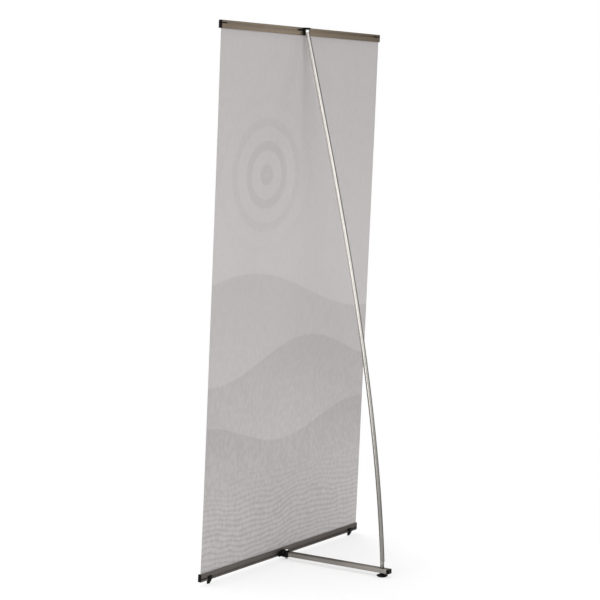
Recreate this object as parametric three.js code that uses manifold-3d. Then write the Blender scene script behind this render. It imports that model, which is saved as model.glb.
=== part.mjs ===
// Banner stand: a printed sheet stretched between two clamp rails and held up by one bowed pole behind it.
// Millimetres, Z up. X runs along the rails, the print faces -Y, the arm and the pole stand on the +Y side.
// Right is +X, as seen by someone who looks at the print. The origin is on the floor, in the footprint's middle.
import * as THREE from 'three';
import { mergeVertices } from 'three/addons/utils/BufferGeometryUtils.js';
import Module from 'manifold-3d';

const wasm = await Module();
wasm.setup();

// Panel: the two rails with the sheet between them, leaning back
const PANEL_LENGTH = 1986;
const PANEL_LEAN_DEG = 3;
const RAIL_CLEARANCE = 15;
const FITTING_OFFSET = 10;

// Rail section, measured from the rail's back face and from its outer edge, the one away from the sheet
const RAIL_LENGTH = 1000;
const RAIL_HEIGHT = 28.5;
const RAIL_DEPTH = 13;
const BACK_WALL = 1.6;
const GROOVE_UP = 9.2;
const GROOVE_MOUTH = 5;
const GROOVE_WIDTH = 9;
const GROOVE_LIP = 1.4;
const GROOVE_ROOM = 2.4;
const FLANGE = 1.6;
const BEAD_RADIUS = 1.6;
const BEAD_FORWARD = 9.4;
const BEAD_UP = 3.4;
const BEAD_NECK = 1.4;
const HOOK_WALL = 1.2;
const HOOK_BACK_DEG = -28;
const HOOK_FRONT_DEG = 180;
const HOOK_LEAVE_DEG = 125;
const JAW_WALL = 1.3;
const JAW_BELLY_UP = 12;
const JAW_SHOULDER_UP = 22;
const JAW_NOSE_FORWARD = 8.6;
const LIP_HEIGHT = 5;

// Grip strips and sheet
const SHEET_THICKNESS = 0.5;
const SHEET_FORWARD = 4.6;
const SHEET_TUCK = 12;
const GRIP_HEIGHT = 2.4;
const GRIP_DEPTH = 2.1;
const GRIP_SEAT = 1.2;
const GRIP_EDGE = 0.9;

// End caps of the rails
const CAP_PLATE = 3;
const CAP_CORNER = 2;
const CAP_TONGUE = 28;
const PEG_RADIUS = 3;
const PEG_LENGTH = 5;

// Feet under the bottom rail
const FOOT_INSET = 48;
const FOOT_PLATE_WIDTH = 19;
const FOOT_PLATE_DEPTH = 4;
const FOOT_PLATE_UP = 15;
const FOOT_PLATE_SHOULDER = 5;
const FOOT_LEG_WIDTH = 10;
const FOOT_LEG_DROP = 3;
const FOOT_TOE_FRONT = 9;
const FOOT_TOE_BACK = 3;

// Swivel at the bottom rail
const PIVOT_REACH = 20;
const EAR_RADIUS = 11;
const EAR_THICKNESS = 4;
const EAR_GAP = 0.4;
const BRACKET_TONGUE = 56;
const BRACKET_PLATE = 2.6;
const BRACKET_WIDTH = 50;
const BRACKET_WING_RISE = 6;
const BRACKET_CORNER = 3;
const PIN_RADIUS = 3;
const PIN_HEAD_RADIUS = 5;
const PIN_HEAD = 3;
const PIN_DOME_SHARE = 0.7;
const PIN_DOME_RISE_SHARE = 0.9;
const WASHER_RADIUS = 6.6;
const WASHER = 1;
const NUT_RADIUS = 5.8;
const NUT_HEIGHT = 5;
const NUT_SIDES = 6;
const BRACKET_SCREW_SPACING = 38;
const SCREW_RADIUS = 1.8;
const SCREW_HEAD_RADIUS = 3.6;
const SCREW_HEAD = 2;

// Arm on the floor side
const ARM_CLEARANCE = 15.5;
const ARM_WIDTH = 25;
const ARM_HEIGHT = 16;
const ARM_WALL = 1.5;
const ARM_CORNER = 1.2;
const ARM_START = 16;
const ARM_REACH = 429.5;
const ARM_OVERHANG = 25;
const NECK_WIDTH = 21;
const NECK_HEIGHT = 15;
const PLUG_LENGTH = 30;
const PLUG_ROOT = 1;
const RIVET_RADIUS = 2;
const RIVET_HEAD_RADIUS = 3.6;
const RIVET_HEAD = 1.1;
const RIVET_DOME_SHARE = 0.6;
const ARM_CAP = 9;
const ARM_CAP_CORNER = 4;
const ARM_CAP_PLUG = 14;

// Foot under the arm's outer end, on its stud
const DISC_RADIUS = 20.5;
const DISC_BASE_RADIUS = 17;
const DISC_CROWN_RADIUS = 13;
const DISC_BOTTOM = 1.2;
const DISC_RIM_LOW = 4.6;
const DISC_RIM_HIGH = 6.4;
const DISC_TOP = 9;
const HUB_RADIUS = 8;
const HUB_GAP = 0.6;
const PAD_RADIUS = 14;
const PAD_HEIGHT = 2;
const STUD_RADIUS = 3.9;
const STUD_SEAT = 4;
const STUD_IN_PEG = 12;

// Peg that carries the pole
const COLLAR_RADIUS = 7.2;
const COLLAR_HEIGHT = 24;
const PEG_SPIGOT_RADIUS = 6;
const PEG_SPIGOT = 28;
const PEG_ROOT_RADIUS = 6.4;
const PEG_CHAMFER = 1.6;

// Pole: three tubes on inner ferrules, with an elastic cord inside
const POLE_RADIUS = 8;
const POLE_BORE_RADIUS = 7;
const SECTION_SHARE = 0.331;
const BASE_SLOPE_SHARE = 0.045;
const FERRULE_BORE_RADIUS = 4.6;
const FERRULE_LENGTH = 90;
const CORD_RADIUS = 2;
const CORD_HOLE_RADIUS = 2.5;
const KNOT_RADIUS = 3.4;
const KNOT_ROOM_RADIUS = 4.4;
const KNOT_ROOM = 9;
const ANCHOR_LENGTH = 16;
const TIP_SPIGOT = 24;
const TIP_SHOULDER = 6;

// Connector behind the top rail
const TIP_REACH = 11.5;
const ROOF_THICKNESS = 5;
const ROOF_DEPTH = 22;
const ROOF_CORNER = 5;
const ROOF_SKIN = 2.6;
const CONNECTOR_WIDTH = 20;
const CONNECTOR_STEM = 14;
const CONNECTOR_PLATE = 2.6;
const CONNECTOR_CORNER = 1.6;
const CONNECTOR_TONGUE = 68;
const CONNECTOR_TONGUE_RISE = 1.4;
const CONNECTOR_SCREW_SPACING = 58;

// Gap between pieces that are seated on each other, and how far a cutting tool runs past a face
const FIT = 0.3;
const OVERRUN = 2;

const TURN_STEPS = 32;
const SMALL_TURN_STEPS = 20;
const ARC_STEPS = 6;
const TUBE_STEPS = 8;

const X_AXIS = new THREE.Vector3(1, 0, 0);
const Y_AXIS = new THREE.Vector3(0, 1, 0);
const Z_AXIS = new THREE.Vector3(0, 0, 1);
const RIGHT = 1;
const LEFT = -1;

// Colour, roughness and metalness of each finish
const FINISHES = {
  anodised: [0x8c877c, 0.42, 1],
  dark_anodised: [0x5d5852, 0.45, 1],
  bright: [0xc9c8c3, 0.28, 1],
  steel: [0xd6d6d6, 0.22, 1],
  black_steel: [0x1c1c1c, 0.4, 1],
  plastic: [0x121212, 0.5, 0],
  rubber: [0x1b1b1b, 0.85, 0],
  cord: [0x202020, 0.9, 0],
  sheet: [0xbab6b4, 0.7, 0],
};

function signedVolume(positions, triangles) {
  const corners = [new THREE.Vector3(), new THREE.Vector3(), new THREE.Vector3()];
  let volume = 0;
  for (let i = 0; i < triangles.length; i += corners.length) {
    corners.forEach((corner, k) => corner.fromArray(positions, triangles[i + k] * corners.length));
    volume += corners[0].dot(corners[1].clone().cross(corners[2]));
  }
  return volume;
}

// A closed geometry as a boolean solid, its faces pointing out and its collapsed triangles dropped
function solidOf(geometry) {
  const bare = geometry.clone();
  bare.deleteAttribute('normal');
  bare.deleteAttribute('uv');
  const merged = mergeVertices(bare);
  const positions = merged.attributes.position.array;
  const index = Array.from(merged.index.array);
  const triangles = [];
  for (let i = 0; i < index.length; i += 3) {
    const [a, b, c] = index.slice(i, i + 3);
    if (a !== b && b !== c && c !== a) triangles.push(a, b, c);
  }
  if (signedVolume(positions, triangles) < 0) triangles.reverse();
  return new wasm.Manifold(new wasm.Mesh({
    numProp: 3,
    vertProperties: Float32Array.from(positions),
    triVerts: Uint32Array.from(triangles),
  }));
}

function geometryOf(solid) {
  const mesh = solid.getMesh();
  const geometry = new THREE.BufferGeometry();
  geometry.setAttribute('position', new THREE.BufferAttribute(mesh.vertProperties, mesh.numProp));
  geometry.setIndex(new THREE.BufferAttribute(mesh.triVerts, 1));
  const faceted = geometry.toNonIndexed();
  faceted.computeVertexNormals();
  return faceted;
}

function join(...geometries) {
  return geometryOf(geometries.map(solidOf).reduce((whole, piece) => whole.add(piece)));
}

function cut(body, ...tools) {
  return geometryOf(tools.map(solidOf).reduce((rest, tool) => rest.subtract(tool), solidOf(body)));
}

// An outline in (Y, Z), drawn out along X and centred on it
function alongX(points, length) {
  const bar = new THREE.ExtrudeGeometry(new THREE.Shape(points), { depth: length, bevelEnabled: false });
  bar.translate(0, 0, -length / 2);
  return bar.applyMatrix4(new THREE.Matrix4().makeBasis(Y_AXIS, Z_AXIS, X_AXIS));
}

// An outline in (X, Z), drawn out along Y from 0 to the given length
function alongY(shape, length) {
  const bar = alongZ(shape, length).translate(0, 0, -length);
  return bar.applyMatrix4(new THREE.Matrix4().makeBasis(X_AXIS, Z_AXIS, Y_AXIS.clone().negate()));
}

// An outline in (X, Y), drawn out along Z from 0 to the given height
function alongZ(shape, height) {
  return new THREE.ExtrudeGeometry(shape, { depth: height, bevelEnabled: false, curveSegments: ARC_STEPS });
}

// A profile of [radius, height] pairs turned round the Z axis
function turned(profile, steps = TURN_STEPS) {
  const lathe = new THREE.LatheGeometry(profile.map(([r, z]) => new THREE.Vector2(r, z)), steps);
  return geometryOf(solidOf(lathe.rotateX(Math.PI / 2)));
}

function rodAlongZ(radius, low, high, steps = TURN_STEPS) {
  const rod = new THREE.CylinderGeometry(radius, radius, high - low, steps);
  return rod.rotateX(Math.PI / 2).translate(0, 0, (low + high) / 2);
}

function box(low, high) {
  const size = high.map((value, k) => value - low[k]);
  const middle = high.map((value, k) => (value + low[k]) / 2);
  return new THREE.BoxGeometry(...size).translate(...middle);
}

function arc(y, z, radius, fromDeg, toDeg, steps) {
  return Array.from({ length: steps + 1 }, (_, k) => {
    const angle = THREE.MathUtils.degToRad(fromDeg + ((toDeg - fromDeg) * k) / steps);
    return new THREE.Vector2(y + radius * Math.cos(angle), z + radius * Math.sin(angle));
  });
}

// A rectangle from (left, low) to (right, high) with four round corners
function roundedRectangle(left, low, right, high, corner) {
  const shape = new THREE.Shape();
  const quarter = Math.PI / 2;
  shape.absarc(right - corner, low + corner, corner, -quarter, 0, false);
  shape.absarc(right - corner, high - corner, corner, 0, quarter, false);
  shape.absarc(left + corner, high - corner, corner, quarter, Math.PI, false);
  shape.absarc(left + corner, low + corner, corner, Math.PI, Math.PI + quarter, false);
  shape.closePath();
  return shape;
}

function put(parent, name, geometry, finish) {
  const [color, roughness, metalness] = FINISHES[finish];
  const mesh = new THREE.Mesh(geometry, new THREE.MeshStandardMaterial({ color, roughness, metalness }));
  mesh.name = name;
  parent.add(mesh);
  return mesh;
}

// Frames. The panel leans back. The swivel axis runs from the pin at the bottom rail to the pole's tip, so the
// arm and the pole swing together like a gate.
const armMiddle = ARM_CLEARANCE + ARM_HEIGHT / 2;
const armTop = ARM_CLEARANCE + ARM_HEIGHT;
const lean = THREE.MathUtils.degToRad(PANEL_LEAN_DEG);
const pivotUp = (armMiddle - RAIL_CLEARANCE + PIVOT_REACH * Math.sin(lean)) / Math.cos(lean);
const tipUp = PANEL_LENGTH - ROOF_SKIN - FIT - POLE_RADIUS;

const stand = new THREE.Group();
const panel = new THREE.Group();
panel.position.z = RAIL_CLEARANCE;
panel.rotation.x = -lean;
stand.add(panel);

const swivel = new THREE.Group();
swivel.position.set(FITTING_OFFSET, PIVOT_REACH, pivotUp);
swivel.rotation.x = Math.atan2(PIVOT_REACH - TIP_REACH, tipUp - pivotUp);
panel.add(swivel);
stand.updateMatrixWorld(true);

const pivotPoint = swivel.getWorldPosition(new THREE.Vector3());
const tipPoint = panel.localToWorld(new THREE.Vector3(FITTING_OFFSET, TIP_REACH, tipUp));

const arm = new THREE.Group();
arm.position.set(pivotPoint.x, pivotPoint.y, armMiddle);
stand.add(arm);

const pole = new THREE.Group();
pole.position.set(pivotPoint.x, pivotPoint.y + ARM_REACH, 0);
stand.add(pole);
stand.updateMatrixWorld(true);

function changeFrame(from, to) {
  return to.matrixWorld.clone().invert().multiply(from.matrixWorld);
}

// Height of the floor in the panel's frame, below a point that far behind the back face
function floorUp(behind) {
  return (behind * Math.sin(lean) - RAIL_CLEARANCE) / Math.cos(lean);
}

// Rails. A side of 1 stands a section on its outer edge, and -1 hangs it from there.
function sided(points, side) {
  return points.map((point) => new THREE.Vector2(point.x, side * point.y));
}

// The back of a rail: a flat wall with a T groove, a ledge for the grip strip and a bead for the jaw's hook
function railBackOutline() {
  const mouthLow = GROOVE_UP - GROOVE_MOUTH / 2;
  const mouthHigh = GROOVE_UP + GROOVE_MOUTH / 2;
  const roomLow = GROOVE_UP - GROOVE_WIDTH / 2;
  const roomHigh = GROOVE_UP + GROOVE_WIDTH / 2;
  const roomFront = GROOVE_LIP + GROOVE_ROOM;
  const channelFront = roomFront + BACK_WALL;
  const ledge = SHEET_FORWARD - SHEET_THICKNESS / 2 - FIT - GRIP_DEPTH + GRIP_SEAT;
  const seatHigh = RAIL_HEIGHT - GRIP_EDGE;
  const seatLow = seatHigh - GRIP_HEIGHT - 2 * FIT;
  const seatFloor = ledge - GRIP_SEAT - FIT;
  const neckDeg = THREE.MathUtils.radToDeg(Math.asin(BEAD_NECK / 2 / BEAD_RADIUS));
  return [
    [0, 0], [0, mouthLow], [-GROOVE_LIP, mouthLow], [-GROOVE_LIP, roomLow], [-roomFront, roomLow],
    [-roomFront, roomHigh], [-GROOVE_LIP, roomHigh], [-GROOVE_LIP, mouthHigh], [0, mouthHigh],
    [0, RAIL_HEIGHT], [-ledge, RAIL_HEIGHT], [-ledge, seatHigh], [-seatFloor, seatHigh],
    [-seatFloor, seatLow], [-ledge, seatLow], [-ledge, RAIL_HEIGHT - LIP_HEIGHT],
    [-BACK_WALL, RAIL_HEIGHT - LIP_HEIGHT - BACK_WALL], [-BACK_WALL, roomHigh + BACK_WALL],
    [-channelFront, roomHigh + BACK_WALL], [-channelFront, FLANGE], [-BEAD_FORWARD + BEAD_NECK / 2, FLANGE],
  ].map(([y, z]) => new THREE.Vector2(y, z))
    .concat(arc(-BEAD_FORWARD, BEAD_UP, BEAD_RADIUS, neckDeg - 90, 270 - neckDeg, 2 * ARC_STEPS))
    .concat([new THREE.Vector2(-BEAD_FORWARD - BEAD_NECK / 2, 0)]);
}

// The front jaw: a hook round the bead, a bulged cover and a lip that holds the front grip strip
function railJawOutline() {
  const inner = BEAD_RADIUS + FIT;
  const outer = inner + HOOK_WALL;
  const lip = SHEET_FORWARD + SHEET_THICKNESS / 2 + FIT + GRIP_DEPTH - GRIP_SEAT;
  const seatHigh = RAIL_HEIGHT - GRIP_EDGE;
  const seatLow = seatHigh - GRIP_HEIGHT - 2 * FIT;
  const seatFloor = lip + GRIP_SEAT + FIT;
  const inside = RAIL_DEPTH - JAW_WALL;
  const cover = new THREE.SplineCurve([
    new THREE.Vector2(-JAW_NOSE_FORWARD, RAIL_HEIGHT),
    new THREE.Vector2(-RAIL_DEPTH + JAW_WALL / 2, JAW_SHOULDER_UP),
    new THREE.Vector2(-RAIL_DEPTH, JAW_BELLY_UP),
    new THREE.Vector2(-BEAD_FORWARD - outer, BEAD_UP),
  ]);
  return arc(-BEAD_FORWARD, BEAD_UP, outer, HOOK_BACK_DEG, HOOK_LEAVE_DEG, 2 * ARC_STEPS)
    .concat([
      [-inside, JAW_BELLY_UP], [-inside + JAW_WALL / 2, JAW_SHOULDER_UP - JAW_WALL],
      [-JAW_NOSE_FORWARD, RAIL_HEIGHT - LIP_HEIGHT], [-lip, RAIL_HEIGHT - LIP_HEIGHT], [-lip, seatLow],
      [-seatFloor, seatLow], [-seatFloor, seatHigh], [-lip, seatHigh], [-lip, RAIL_HEIGHT],
    ].map(([y, z]) => new THREE.Vector2(y, z)))
    .concat(cover.getPoints(2 * ARC_STEPS))
    .concat(arc(-BEAD_FORWARD, BEAD_UP, inner, HOOK_FRONT_DEG, HOOK_BACK_DEG, 2 * ARC_STEPS));
}

function gripOutline(direction) {
  const high = RAIL_HEIGHT - GRIP_EDGE - FIT;
  const near = -SHEET_FORWARD + direction * (SHEET_THICKNESS / 2 + FIT);
  const far = near + direction * GRIP_DEPTH;
  return [[near, high - GRIP_HEIGHT], [far, high - GRIP_HEIGHT], [far, high], [near, high]]
    .map(([y, z]) => new THREE.Vector2(y, z));
}

// The T-shaped tongue by which every fitting sits in a rail's groove, flush with the back face or past it
function tongue(length, side, behind = 0) {
  const neck = GROOVE_MOUTH / 2 - FIT;
  const head = GROOVE_WIDTH / 2 - FIT;
  const headBack = GROOVE_LIP + FIT;
  const headFront = GROOVE_LIP + GROOVE_ROOM - FIT;
  const outline = [
    [behind, GROOVE_UP - neck], [behind, GROOVE_UP + neck], [-headBack, GROOVE_UP + neck],
    [-headBack, GROOVE_UP + head], [-headFront, GROOVE_UP + head], [-headFront, GROOVE_UP - head],
    [-headBack, GROOVE_UP - head], [-headBack, GROOVE_UP - neck],
  ].map(([y, z]) => new THREE.Vector2(y, z));
  return alongX(sided(outline, side), length);
}

function endCap(end, side, hasPeg) {
  const inner = RAIL_LENGTH / 2 + FIT;
  const outline = roundedRectangle(-RAIL_DEPTH, 0, 0, RAIL_HEIGHT, CAP_CORNER).getPoints(ARC_STEPS / 2);
  const plate = alongX(sided(outline, side), CAP_PLATE).translate(end * (inner + CAP_PLATE / 2), 0, 0);
  const tongueLength = CAP_TONGUE + FIT + CAP_PLATE / 2;
  const inGroove = tongue(tongueLength, side);
  inGroove.translate(end * (inner + CAP_PLATE / 2 - tongueLength / 2), 0, 0);
  if (!hasPeg) return join(plate, inGroove);
  const peg = rodAlongZ(PEG_RADIUS, 0, CAP_PLATE / 2 + PEG_LENGTH, SMALL_TURN_STEPS);
  peg.rotateY(end * Math.PI / 2).translate(end * (inner + CAP_PLATE / 2), -RAIL_DEPTH / 2, side * GROOVE_UP);
  return join(plate, inGroove, peg);
}

function addRail(name, side, finish) {
  const rail = new THREE.Group();
  rail.position.z = side > 0 ? 0 : PANEL_LENGTH;
  panel.add(rail);
  const capClear = RAIL_LENGTH - 2 * FIT;
  put(rail, `${name}_rail_back`, alongX(sided(railBackOutline(), side), RAIL_LENGTH), finish);
  put(rail, `${name}_rail_jaw`, alongX(sided(railJawOutline(), side), RAIL_LENGTH), finish);
  put(rail, `${name}_grip_back`, alongX(sided(gripOutline(1), side), capClear), 'rubber');
  put(rail, `${name}_grip_front`, alongX(sided(gripOutline(-1), side), capClear), 'rubber');
  put(rail, `${name}_end_cap_left`, endCap(LEFT, side, side < 0), 'plastic');
  put(rail, `${name}_end_cap_right`, endCap(RIGHT, side, side < 0), 'plastic');
  return rail;
}

function sheet() {
  const half = RAIL_LENGTH / 2 - FIT;
  const tuckedAt = RAIL_HEIGHT - SHEET_TUCK;
  const back = -SHEET_FORWARD + SHEET_THICKNESS / 2;
  return box([-half, back - SHEET_THICKNESS, tuckedAt], [half, back, PANEL_LENGTH - tuckedAt]);
}

// A foot of the bottom rail: a tongue in the groove, a plate on the back face and a leg that runs under it
function railFoot() {
  const back = FIT + FOOT_PLATE_DEPTH;
  const plate = new THREE.Shape([
    [-FOOT_LEG_WIDTH / 2, -FOOT_LEG_DROP], [FOOT_LEG_WIDTH / 2, -FOOT_LEG_DROP],
    [FOOT_PLATE_WIDTH / 2, FOOT_PLATE_SHOULDER], [FOOT_PLATE_WIDTH / 2, FOOT_PLATE_UP],
    [-FOOT_PLATE_WIDTH / 2, FOOT_PLATE_UP], [-FOOT_PLATE_WIDTH / 2, FOOT_PLATE_SHOULDER],
  ].map(([x, z]) => new THREE.Vector2(x, z)));
  const leg = [
    [FIT, FOOT_PLATE_SHOULDER], [FIT, -FIT], [-FOOT_TOE_FRONT, -FIT],
    [-FOOT_TOE_FRONT, floorUp(-FOOT_TOE_FRONT)], [-FOOT_TOE_BACK, floorUp(-FOOT_TOE_BACK)],
    [back, -FOOT_LEG_DROP], [back, FOOT_PLATE_SHOULDER],
  ].map(([y, z]) => new THREE.Vector2(y, z));
  return join(
    alongY(plate, FOOT_PLATE_DEPTH).translate(0, FIT, 0),
    alongX(leg, FOOT_LEG_WIDTH),
    tongue(FOOT_PLATE_WIDTH, 1, back),
  );
}

// Swivel
const earInner = ARM_HEIGHT / 2 + EAR_GAP;
const earOuter = earInner + EAR_THICKNESS;
const washerOuter = earOuter + FIT + WASHER;

function ear(low) {
  const shape = new THREE.Shape();
  shape.absarc(0, 0, EAR_RADIUS, 0, Math.PI, false);
  shape.lineTo(-EAR_RADIUS, -PIVOT_REACH + FIT + BRACKET_PLATE / 2);
  shape.lineTo(EAR_RADIUS, -PIVOT_REACH + FIT + BRACKET_PLATE / 2);
  shape.closePath();
  return alongZ(shape, EAR_THICKNESS).translate(0, 0, low);
}

// A screw's hole through a fitting's plate and its tongue
function fittingHole(x, plate, z) {
  const front = GROOVE_LIP + GROOVE_ROOM;
  const hole = rodAlongZ(SCREW_RADIUS + FIT, -front, FIT + plate + OVERRUN, SMALL_TURN_STEPS);
  return hole.rotateX(-Math.PI / 2).translate(x, 0, z);
}

// The bracket in the panel's frame, at the fittings' place along the rail
function pivotBracket() {
  const toBracket = changeFrame(swivel, panel).premultiply(
    new THREE.Matrix4().makeTranslation(-FITTING_OFFSET, 0, 0));
  const half = BRACKET_WIDTH / 2;
  const low = pivotUp - earOuter;
  const high = pivotUp + earOuter;
  const wingTop = GROOVE_UP + BRACKET_WING_RISE;
  const wings = alongY(roundedRectangle(-half, low, half, wingTop, BRACKET_CORNER), BRACKET_PLATE);
  const middle = alongY(roundedRectangle(-EAR_RADIUS, low, EAR_RADIUS, high, BRACKET_CORNER), BRACKET_PLATE);
  const pinHole = rodAlongZ(PIN_RADIUS + FIT, -earOuter - OVERRUN, earOuter + OVERRUN, SMALL_TURN_STEPS);
  return cut(
    join(
      wings.translate(0, FIT, 0),
      middle.translate(0, FIT, 0),
      tongue(BRACKET_TONGUE, 1, FIT + BRACKET_PLATE / 2),
      ear(-earOuter).applyMatrix4(toBracket),
      ear(earInner).applyMatrix4(toBracket),
    ),
    pinHole.applyMatrix4(toBracket),
    fittingHole(LEFT * BRACKET_SCREW_SPACING / 2, BRACKET_PLATE, GROOVE_UP),
    fittingHole(RIGHT * BRACKET_SCREW_SPACING / 2, BRACKET_PLATE, GROOVE_UP),
  );
}

// A pan-head screw whose head rests at height 0 and whose shank runs down from it
function screw(length) {
  return turned([
    [0, -length], [SCREW_RADIUS, -length], [SCREW_RADIUS, 0], [SCREW_HEAD_RADIUS, 0],
    [SCREW_HEAD_RADIUS, SCREW_HEAD / 2], [SCREW_HEAD_RADIUS / 2, SCREW_HEAD], [0, SCREW_HEAD],
  ], SMALL_TURN_STEPS);
}

function addFittingScrew(parent, name, x, plateBack, z, finish) {
  const length = plateBack + GROOVE_LIP + GROOVE_ROOM - FIT;
  const mesh = put(parent, name, screw(length), finish);
  mesh.rotation.x = -Math.PI / 2;
  mesh.position.set(x, plateBack + FIT, z);
}

function pivotPin() {
  const headLow = washerOuter + FIT;
  const bottom = -washerOuter - NUT_HEIGHT - 2 * FIT;
  return turned([[0, bottom], [PIN_RADIUS, bottom], [PIN_RADIUS, headLow], [PIN_HEAD_RADIUS, headLow],
    [PIN_HEAD_RADIUS, headLow + PIN_HEAD / 2],
    [PIN_HEAD_RADIUS * PIN_DOME_SHARE, headLow + PIN_HEAD * PIN_DOME_RISE_SHARE], [0, headLow + PIN_HEAD]]);
}

function washer(low) {
  return turned([[PIN_RADIUS + FIT, low], [WASHER_RADIUS, low], [WASHER_RADIUS, low + WASHER],
    [PIN_RADIUS + FIT, low + WASHER], [PIN_RADIUS + FIT, low]], SMALL_TURN_STEPS);
}

function pivotNut() {
  const low = -washerOuter - FIT - NUT_HEIGHT;
  const high = low + NUT_HEIGHT;
  const hole = rodAlongZ(PIN_RADIUS + FIT, low - OVERRUN, high + OVERRUN, SMALL_TURN_STEPS);
  return cut(rodAlongZ(NUT_RADIUS, low, high, NUT_SIDES), hole);
}

// Arm, in its own level frame: the pin is at its origin and it runs out along Y
const armEnd = ARM_REACH + ARM_OVERHANG;

function armSection(inset, corner) {
  const x = ARM_WIDTH / 2 - inset;
  const z = ARM_HEIGHT / 2 - inset;
  return roundedRectangle(-x, -z, x, z, corner);
}

function rivetHole(radius) {
  const half = ARM_WIDTH / 2 + OVERRUN;
  return rodAlongZ(radius, -half, half, SMALL_TURN_STEPS).rotateY(Math.PI / 2)
    .translate(0, ARM_START + PLUG_LENGTH / 2, 0);
}

function armTube() {
  const length = armEnd - ARM_START;
  const outside = alongY(armSection(0, ARM_CORNER), length).translate(0, ARM_START, 0);
  const inside = alongY(armSection(ARM_WALL, ARM_CORNER / 2), length + 2 * OVERRUN);
  const half = ARM_HEIGHT / 2;
  return cut(
    outside,
    inside.translate(0, ARM_START - OVERRUN, 0),
    rodAlongZ(PEG_ROOT_RADIUS + FIT, 0, half + OVERRUN).translate(0, ARM_REACH, 0),
    rodAlongZ(STUD_RADIUS + FIT, -half - OVERRUN, 0).translate(0, ARM_REACH, 0),
    rivetHole(RIVET_RADIUS + FIT),
  );
}

function armKnuckle() {
  const eye = rodAlongZ(EAR_RADIUS - FIT, -ARM_HEIGHT / 2, ARM_HEIGHT / 2);
  eye.applyMatrix4(changeFrame(swivel, arm));
  const neckEnd = ARM_START - FIT;
  const neck = box([-NECK_WIDTH / 2, 0, -NECK_HEIGHT / 2], [NECK_WIDTH / 2, neckEnd, NECK_HEIGHT / 2]);
  const plug = alongY(armSection(ARM_WALL + FIT, ARM_CORNER / 2), PLUG_LENGTH + FIT + PLUG_ROOT);
  plug.translate(0, neckEnd - PLUG_ROOT, 0);
  const pinHole = rodAlongZ(PIN_RADIUS + FIT, -ARM_HEIGHT, ARM_HEIGHT, SMALL_TURN_STEPS);
  pinHole.applyMatrix4(changeFrame(swivel, arm));
  return cut(join(eye, neck, plug), pinHole, rivetHole(RIVET_RADIUS + FIT));
}

function armRivet() {
  const face = ARM_WIDTH / 2 + FIT;
  const top = face + RIVET_HEAD;
  const crown = RIVET_HEAD_RADIUS * RIVET_DOME_SHARE;
  return turned([[0, -top], [crown, -top], [RIVET_HEAD_RADIUS, -face], [RIVET_RADIUS, -face],
    [RIVET_RADIUS, face], [RIVET_HEAD_RADIUS, face], [crown, top], [0, top]], SMALL_TURN_STEPS);
}

function armCap() {
  const x = ARM_WIDTH / 2;
  const z = ARM_HEIGHT / 2;
  const outline = new THREE.Shape();
  outline.moveTo(-x, 0);
  outline.lineTo(x, 0);
  outline.absarc(x - ARM_CAP_CORNER, ARM_CAP - ARM_CAP_CORNER, ARM_CAP_CORNER, 0, Math.PI / 2, false);
  outline.absarc(ARM_CAP_CORNER - x, ARM_CAP - ARM_CAP_CORNER, ARM_CAP_CORNER, Math.PI / 2, Math.PI, false);
  outline.closePath();
  const block = alongZ(outline, ARM_HEIGHT).translate(0, armEnd + FIT, -z);
  const plug = alongY(armSection(ARM_WALL + FIT, ARM_CORNER / 2), ARM_CAP_PLUG + FIT + ARM_CAP / 2);
  return join(block, plug.translate(0, armEnd - ARM_CAP_PLUG, 0));
}

// Outer foot, round the pole's axis, heights above the floor
function footDisc() {
  const hubTop = ARM_CLEARANCE - HUB_GAP;
  const padSeat = PAD_HEIGHT + FIT;
  const recess = PAD_RADIUS + FIT;
  const bore = STUD_RADIUS + FIT;
  return turned([
    [0, padSeat], [recess, padSeat], [recess, DISC_BOTTOM], [DISC_BASE_RADIUS, DISC_BOTTOM],
    [DISC_RADIUS, DISC_RIM_LOW], [DISC_RADIUS, DISC_RIM_HIGH], [DISC_CROWN_RADIUS, DISC_TOP],
    [HUB_RADIUS, DISC_TOP], [HUB_RADIUS, hubTop], [bore, hubTop], [bore, STUD_SEAT], [0, STUD_SEAT],
  ]);
}

function footPad() {
  return rodAlongZ(PAD_RADIUS, 0, PAD_HEIGHT);
}

function footStud() {
  return rodAlongZ(STUD_RADIUS, STUD_SEAT + FIT, armTop + STUD_IN_PEG, SMALL_TURN_STEPS);
}

// The peg stands on the arm's top wall: a collar, a spigot inside the pole and a bored root for the stud
function polePeg() {
  const rootLow = ARM_CLEARANCE + ARM_WALL + FIT;
  const boreTop = armTop + STUD_IN_PEG + 2 * FIT;
  const collarLow = armTop + FIT;
  const collarTop = armTop + COLLAR_HEIGHT;
  const tip = collarTop + PEG_SPIGOT;
  const bore = STUD_RADIUS + FIT;
  return turned([
    [0, boreTop], [bore, boreTop], [bore, rootLow], [PEG_ROOT_RADIUS, rootLow], [PEG_ROOT_RADIUS, collarLow],
    [COLLAR_RADIUS, collarLow], [COLLAR_RADIUS, collarTop], [PEG_SPIGOT_RADIUS, collarTop],
    [PEG_SPIGOT_RADIUS, tip - PEG_CHAMFER], [PEG_SPIGOT_RADIUS - PEG_CHAMFER, tip], [0, tip],
  ]);
}

// Pole. Its centre line is that of a springy rod, held at the peg and pushed forward at its tip. It crosses
// the peg's axis half way up the spigot.
const poleFoot = armTop + COLLAR_HEIGHT;
const poleSeat = poleFoot + PEG_SPIGOT / 2;
const poleRise = tipPoint.z - poleSeat;
const poleReach = pole.position.y - tipPoint.y;

function poleForward(height) {
  const share = (height - poleSeat) / poleRise;
  const slope = BASE_SLOPE_SHARE * poleRise;
  return slope * share + ((poleReach - slope) * (3 * share ** 2 - share ** 3)) / 2;
}

class PoleLine extends THREE.Curve {
  constructor(low, high) {
    super();
    this.low = low;
    this.high = high;
  }

  getPoint(share, target = new THREE.Vector3()) {
    const height = THREE.MathUtils.lerp(this.low, this.high, share);
    return target.set(0, -poleForward(height), height);
  }
}

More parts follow.
